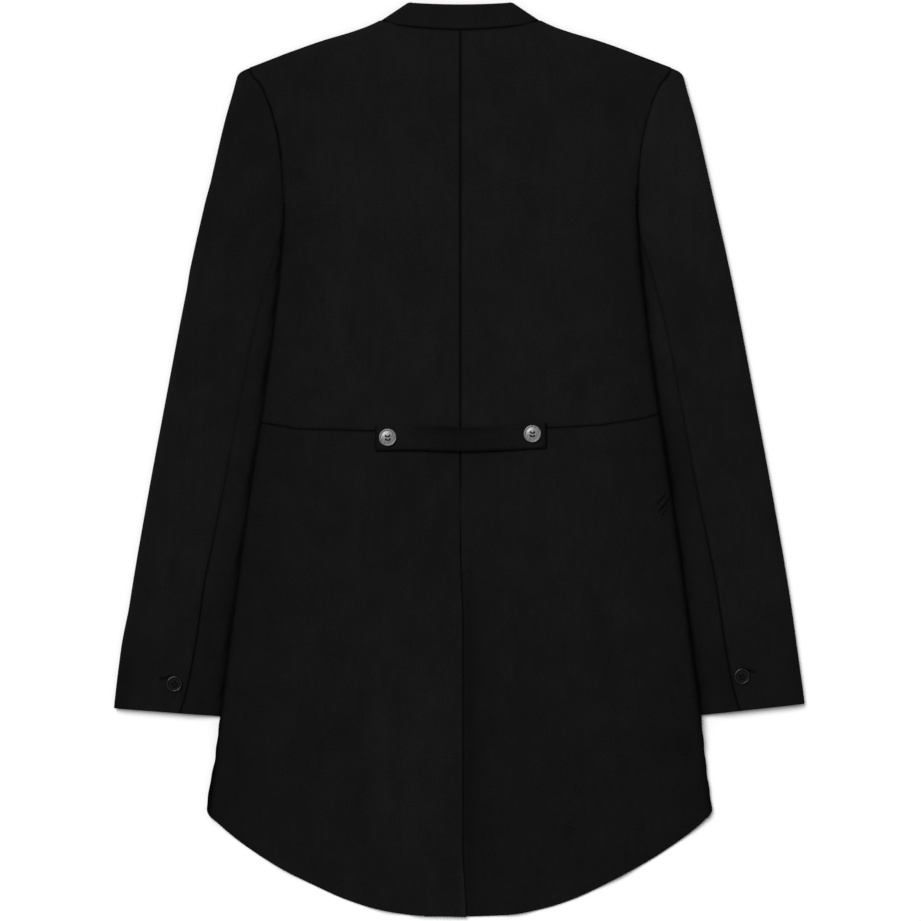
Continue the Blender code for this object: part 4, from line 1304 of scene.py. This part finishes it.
def turned(profile, radius):
    """A closed round mesh from a profile that starts and ends on the axis."""
    bm = bmesh.new()
    rings = []
    for share, height in zip(profile["radius"], profile["height"]):
        spots = circle(BUTTON_SEGMENTS) if share else [(0, 0)]
        rings.append([
            bm.verts.new(Vector((radius * share * x, radius * share * y, height)) * MM) for x, y in spots
        ])
    bridge(bm, rings)
    bmesh.ops.recalc_face_normals(bm, faces=bm.faces)
    return mesh_from(bm, "turned")


def hole_pins():
    bm = bmesh.new()
    for x, y in HOLES:
        bmesh.ops.create_cone(
            bm, cap_ends=True, segments=HOLE_SEGMENTS, radius1=HOLE_RADIUS * MM,
            radius2=HOLE_RADIUS * MM, depth=PIN_LENGTH * MM, matrix=Matrix.Translation((x * MM, y * MM, 0)),
        )
    return mesh_from(bm, "pins")


def make_button(node, profile, radius, placed, materials):
    """A turned button with four holes cut through, at its solid's place. Its middle may be duller."""
    blank, pins = new_object("blank", turned(profile, radius)), new_object("pins", hole_pins())
    cut = blank.modifiers.new("holes", "BOOLEAN")
    cut.operation, cut.solver, cut.object = "DIFFERENCE", "EXACT", pins
    mesh = bpy.data.meshes.new_from_object(blank.evaluated_get(bpy.context.evaluated_depsgraph_get()))
    for helper in (blank, pins):
        bpy.data.objects.remove(helper, do_unlink=True)
    mesh.materials.clear()
    for face in mesh.polygons:
        in_middle = face.center.to_2d().length < DULL_SHARE * radius * MM
        face.material_index = len(materials) - 1 if in_middle else 0
    mesh.transform(placed)
    mesh.shade_smooth()
    mesh.set_sharp_from_angle(angle=SHARP_ANGLE)
    piece = add_piece(f"turned_{node}", mesh, *materials)
    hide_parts(node)


def tube(bm, path, radius, sides=8):
    """A round closed tube along a path of points, in metres."""
    rings = []
    for k, point in enumerate(path):
        along = (path[min(k + 1, len(path) - 1)] - path[max(k - 1, 0)]).normalized()
        aside = along.cross(Vector((0.37, 0.93, 0.11))).normalized()
        other = along.cross(aside)
        rings.append([bm.verts.new(point + (aside * x + other * y) * radius) for x, y in circle(sides)])
    bridge(bm, rings)
    bm.faces.new(rings[0][::-1])
    bm.faces.new(rings[-1])


def add_sewing(name, bm, material):
    bmesh.ops.recalc_face_normals(bm, faces=bm.faces)
    mesh = mesh_from(bm, name)
    mesh.shade_smooth()
    add_piece(name, mesh, material)


def stitch_path(start, end):
    """A thread that comes up out of one hole, crosses to the next and goes down again."""
    path = []
    for k in range(STITCH_STEPS + 1):
        turn = math.pi * k / STITCH_STEPS
        point = start.lerp(end, (1 - math.cos(turn)) / 2)
        height = mix(STITCH["low"], STITCH["high"], min(1.0, STITCH_STEEPNESS * math.sin(turn)))
        path.append(Vector((point.x, point.y + STITCH["bow"] * MM * math.sin(turn), height * MM)))
    return path


def make_threads(node, placed, material):
    """Two stitches over the button, each of two strands, and the shank under it."""
    bm = bmesh.new()
    for y in (-HOLE_DOWN, HOLE_DOWN):
        for strand in (-STRAND_ASIDE, STRAND_ASIDE):
            start, end = Vector((-HOLE_ACROSS, y + strand, 0)) * MM, Vector((HOLE_ACROSS, y - strand, 0)) * MM
            tube(bm, stitch_path(start, end), THREAD_RADIUS * MM)
    for x, y in HOLES:
        foot = Vector((x * SHANK_FOOT[0], y * SHANK_FOOT[0], SHANK_FOOT[1])) * MM
        head = Vector((x, y, SHANK_TOP)) * MM
        tube(bm, [foot, foot.lerp(head, 0.5), head], SHANK_RADIUS * MM)
    bmesh.ops.transform(bm, matrix=placed, verts=bm.verts)
    add_sewing(f"thread_{node}", bm, material)


def make_buttons(pearl, resins, thread):
    for word in SIDES:
        for kind, buttons, profile, materials, slot in (
            ("belt_button", BELT_BUTTONS, PEARL_PROFILE, (pearl,), "grey_pearl_button"),
            ("cuff_button", CUFF_BUTTONS, BLACK_PROFILE, resins, "black_gloss_button"),
        ):
            node = f"{kind}_{word}"
            low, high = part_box(node)
            seat = Vector(((low[0] + high[0]) / 2, (low[1] + high[1]) / 2, low[2]))
            placed = Matrix.Translation(seat) @ Matrix.Rotation(BUTTON_TURNS[node], 4, "Z")
            make_button(node, profile, buttons[word][2], placed, materials)
            make_threads(node, placed, thread)


def slit_walk(share):
    """Where a stitch starts on the way round a buttonhole's slit, and which way it points."""
    straight, round_end = BUTTONHOLE_LENGTH - 2 * BUTTONHOLE_WIDTH, math.pi * BUTTONHOLE_WIDTH
    second_half, at = divmod(2 * share * (straight + round_end), straight + round_end)
    centre, aim = at - straight / 2, math.pi / 2
    if at >= straight:
        centre, aim = straight / 2, math.pi / 2 - (at - straight) / BUTTONHOLE_WIDTH
    return (-centre, aim - math.pi) if second_half else (centre, aim)


def make_buttonhole(word, side, material):
    """A worked buttonhole: close stitches round a slit that runs outward from under the button."""
    across, down = BUTTONHOLES[word]
    tilt = BUTTONHOLE_TILT * side
    bm = bmesh.new()
    for k in range(BUTTONHOLE_STITCHES):
        centre, aim = slit_walk(k / BUTTONHOLE_STITCHES)
        path = []
        for share in np.linspace(0, 1, 5):
            length = mix(BUTTONHOLE_SLIT, BUTTONHOLE_WIDTH, share)
            x, y = centre + length * math.cos(aim), length * math.sin(aim)
            out = abs(across + x * math.cos(tilt) - y * math.sin(tilt))
            low = down - x * math.sin(tilt) - y * math.cos(tilt)
            surface = float(sleeve_height(out, low)) + float(sleeve_relief(side * out, low))
            height = surface + WORKED_HEIGHT * math.sin(math.pi * share) + WORKED_LIFT
            path.append(Vector((side * out, DATUM_TO_MIDDLE - low, height)) * MM)
        tube(bm, path, WORKED_RADIUS * MM, sides=6)
    add_sewing(f"buttonhole_{word}", bm, material)


# Materials

def new_material(name):
    material = bpy.data.materials.new(name)
    material.use_nodes = True
    return material, material.node_tree


def fill(tree, made, inputs):
    """Sets inputs of a node, each to a value or a link."""
    for key, value in inputs.items():
        if isinstance(value, bpy.types.NodeSocket):
            tree.links.new(value, made.inputs[key])
        else:
            made.inputs[key].default_value = value


def finished(material, inputs):
    """The material once its shader's inputs are set."""
    fill(material.node_tree, material.node_tree.nodes["Principled BSDF"], inputs)
    return material


def node(tree, kind, settings=(), inputs=()):
    made = tree.nodes.new(kind)
    for key, value in dict(settings).items():
        setattr(made, key, value)
    fill(tree, made, dict(inputs))
    return made


def maths(tree, operation, first, second):
    return node(tree, "ShaderNodeMath", {"operation": operation}, {0: first, 1: second}).outputs[0]


def weighted(tree, *parts):
    """The sum of factors, each times its weight."""
    scaled = [maths(tree, "MULTIPLY", factor, weight) for factor, weight in parts]
    return reduce(lambda total, part: maths(tree, "ADD", total, part), scaled)


def noise(tree, where, scale, detail=3.0, roughness=0.55, distortion=0.0):
    inputs = {"Scale": scale, "Detail": detail, "Roughness": roughness, "Distortion": distortion}
    return node(tree, "ShaderNodeTexNoise", (), {"Vector": where, **inputs}).outputs["Fac"]


def waves(tree, where, pitch, distortion):
    """Bands with a pitch in metres."""
    settings = {"wave_type": "BANDS", "bands_direction": "X", "wave_profile": "SIN"}
    inputs = {"Vector": where, "Scale": 2 * math.pi / (20 * pitch), "Distortion": distortion}
    inputs |= {"Detail": 2.0, "Detail Scale": 1.6}
    return node(tree, "ShaderNodeTexWave", settings, inputs).outputs["Fac"]


def ramp(tree, factor, low, high):
    """A factor from 0 to 1 turned into a value between two others."""
    inputs = {"Value": factor, "To Min": low, "To Max": high}
    return node(tree, "ShaderNodeMapRange", (), inputs).outputs["Result"]


def tint(tree, factor, dark, light):
    inputs = {0: factor, 6: (*dark, 1), 7: (*light, 1)}
    return node(tree, "ShaderNodeMix", {"data_type": "RGBA"}, inputs).outputs[2]


def bumped(tree, *layers):
    """The normal after a chain of bumps, each a height, a strength and a distance in metres."""
    normal = {}
    for height, strength, distance in layers:
        inputs = {"Height": height, "Strength": strength, "Distance": distance, **normal}
        normal = {"Normal": node(tree, "ShaderNodeBump", (), inputs).outputs["Normal"]}
    return normal["Normal"]


def attribute(tree, name):
    return node(tree, "ShaderNodeAttribute", {"attribute_name": name}).outputs["Fac"]


def object_place(tree, turn=0.0, scale=(1, 1, 1)):
    where = node(tree, "ShaderNodeTexCoord").outputs["Object"]
    inputs = {"Vector": where, "Rotation": (0, 0, turn), "Scale": scale}
    return node(tree, "ShaderNodeMapping", (), inputs).outputs["Vector"]


def wool(name, grain):
    """Matte black wool: a fine twill under a short felted nap, clouded, with painted shade along seams and
    painted light and shade.
    """
    material, tree = new_material(name)
    plain = object_place(tree)
    clouds = noise(tree, plain, 24.0, 5.0, 0.62, 0.3)
    streaks = noise(tree, object_place(tree, grain, STREAK_SCALE), 1.0, 3.0, 0.6)
    fibres = noise(tree, object_place(tree, grain), 1500.0, 4.0, 0.7)
    flecks = noise(tree, plain, 620.0, 4.0, 0.72)
    twill = waves(tree, object_place(tree, grain + TWILL_SLANT), TWILL_PITCH, 1.1)
    mixed = weighted(tree, (clouds, 0.3), (flecks, 0.55), (streaks, 0.15))
    spread = {"Value": mixed, "From Min": 0.32, "From Max": 0.68}
    spread = node(tree, "ShaderNodeMapRange", {"interpolation_type": "SMOOTHSTEP"}, spread).outputs["Result"]
    # The colour darkens by a painted shade along the seams, and takes each panel's painted light and shade.
    seam = ramp(tree, attribute(tree, "seam"), 1.0, 0.22)
    shade = maths(tree, "MULTIPLY", ramp(tree, twill, 0.82, 1.14), seam)
    shade = maths(tree, "MULTIPLY", shade, attribute(tree, "tone"))
    colour = {0: tint(tree, spread, WOOL_DARK, WOOL_LIGHT), "Scale": shade}
    nap = weighted(tree, (twill, 0.5), (fibres, 0.9))
    return finished(material, {
        "Base Color": node(tree, "ShaderNodeVectorMath", {"operation": "SCALE"}, colour).outputs[0],
        "Roughness": ramp(tree, fibres, 0.84, 1.0),
        "Normal": bumped(tree, (nap, 0.4, 0.0003), (flecks, 0.3, 0.0006)),
        "Specular IOR Level": 0.045,
        "Sheen Weight": 0.008,
        "Sheen Roughness": 0.4,
    })


def pearl_material():
    """Grey mother-of-pearl: cloudy bands with a soft metallic gloss."""
    material, tree = new_material("grey_pearl")
    bands = waves(tree, object_place(tree, 0.5), 0.0034, 5.5)
    cloud = noise(tree, object_place(tree), 260.0, distortion=0.8)
    factor = weighted(tree, (bands, 0.4), (cloud, 0.6))
    return finished(material, {
        "Base Color": tint(tree, factor, (0.085, 0.087, 0.09), (0.27, 0.27, 0.275)),
        "Roughness": ramp(tree, cloud, 0.3, 0.46),
        "Normal": bumped(tree, (bands, 0.08, 0.0003)),
        "Metallic": 0.3,
        "Coat Weight": 0.15,
        "Coat Roughness": 0.2,
    })


def resin_material(name, roughness, specular):
    """Black resin with faint scuffs."""
    material, tree = new_material(name)
    cloud = noise(tree, object_place(tree), 900.0, 4.0, 0.6)
    return finished(material, {
        "Base Color": tint(tree, cloud, (0.0012, 0.0012, 0.0014), (0.004, 0.0038, 0.0038)),
        "Roughness": ramp(tree, cloud, *roughness),
        "Normal": bumped(tree, (cloud, 0.05, 0.0002)),
        "Specular IOR Level": specular,
    })


def thread_material():
    """Black silk buttonhole thread with a twist."""
    material, tree = new_material("black_thread")
    twist = waves(tree, object_place(tree, 0.8), 0.0004, 0.6)
    return finished(material, {
        "Base Color": tint(tree, twist, (0.0012, 0.0012, 0.0012), (0.0045, 0.0045, 0.0047)),
        "Roughness": ramp(tree, twist, 0.6, 0.8),
        "Normal": bumped(tree, (twist, 0.4, 0.0002)),
        "Specular IOR Level": 0.05,
    })


def floor_material():
    material, tree = new_material("pale_floor")
    grain = noise(tree, object_place(tree), 6.0, 2.0)
    return finished(material, {
        "Base Color": tint(tree, grain, (0.86, 0.86, 0.86), (0.9, 0.9, 0.9)),
        "Roughness": 0.9,
        "Specular IOR Level": 0.1,
    })


# Floor, light and camera, in metres

FLOOR_SIZE = 60.0
FLOOR_DROP = 0.0003
CAMERA_HEIGHT = 4.0
SENSOR = 36.0
FRAME_WIDTH = 0.921
PHOTO_MIDDLE = (0.0002, -0.0005)
CLOTH_HEIGHT = 0.008
WORLD_STRENGTH = 0.4
KEY_STRENGTH = 2.9
KEY_SOFTNESS = math.radians(38)
KEY_FROM = (-1.1, 1.5, 3.0)


def make_floor():
    bm = bmesh.new()
    bmesh.ops.create_grid(bm, x_segments=8, y_segments=8, size=FLOOR_SIZE / 2)
    floor = new_object("floor", mesh_from(bm, "floor"))
    floor.data.materials.append(floor_material())
    floor.location.z = -FLOOR_DROP


def make_light():
    world = bpy.data.worlds.new("studio")
    bpy.context.scene.world = world
    world.use_nodes = True
    background = world.node_tree.nodes["Background"]
    fill(world.node_tree, background, {"Color": (1, 1, 1, 1), "Strength": WORLD_STRENGTH})
    lamp = bpy.data.lights.new("key", "SUN")
    lamp.energy, lamp.angle = KEY_STRENGTH, KEY_SOFTNESS
    key = new_object("key", lamp)
    key.location = KEY_FROM
    key.rotation_euler = (-key.location).to_track_quat("-Z", "Y").to_euler()


def make_camera():
    data = bpy.data.cameras.new("camera")
    data.sensor_width = SENSOR
    data.lens = SENSOR * (CAMERA_HEIGHT - CLOTH_HEIGHT) / FRAME_WIDTH
    camera = new_object("camera", data)
    camera.location = (*PHOTO_MIDDLE, CAMERA_HEIGHT)
    bpy.context.scene.camera = camera


make_floor()
make_light()
make_camera()
bpy.context.scene.view_settings.view_transform = "Standard"

body_wool = wool("black_wool_body", 0.0)
sleeve_wools = {word: wool(f"black_wool_sleeve_{word}", side * SLEEVE_GRAIN) for word, side in SIDES.items()}
thread = thread_material()
for word, side in SIDES.items():
    make_fronts(word, side, body_wool)
for word, side in SIDES.items():
    make_sleeve(word, side, sleeve_wools[word])
for make in (make_back, make_back_skirt):
    for word, side in SIDES.items():
        make(word, side, body_wool)
make_collar(body_wool)
make_belt(body_wool)
rim_resin = resin_material("black_resin_rim", (0.1, 0.2), 0.4)
dull_resin = resin_material("black_resin_middle", (0.5, 0.7), 0.07)
make_buttons(pearl_material(), (rim_resin, dull_resin), thread)
for word, side in SIDES.items():
    make_buttonhole(word, side, thread)
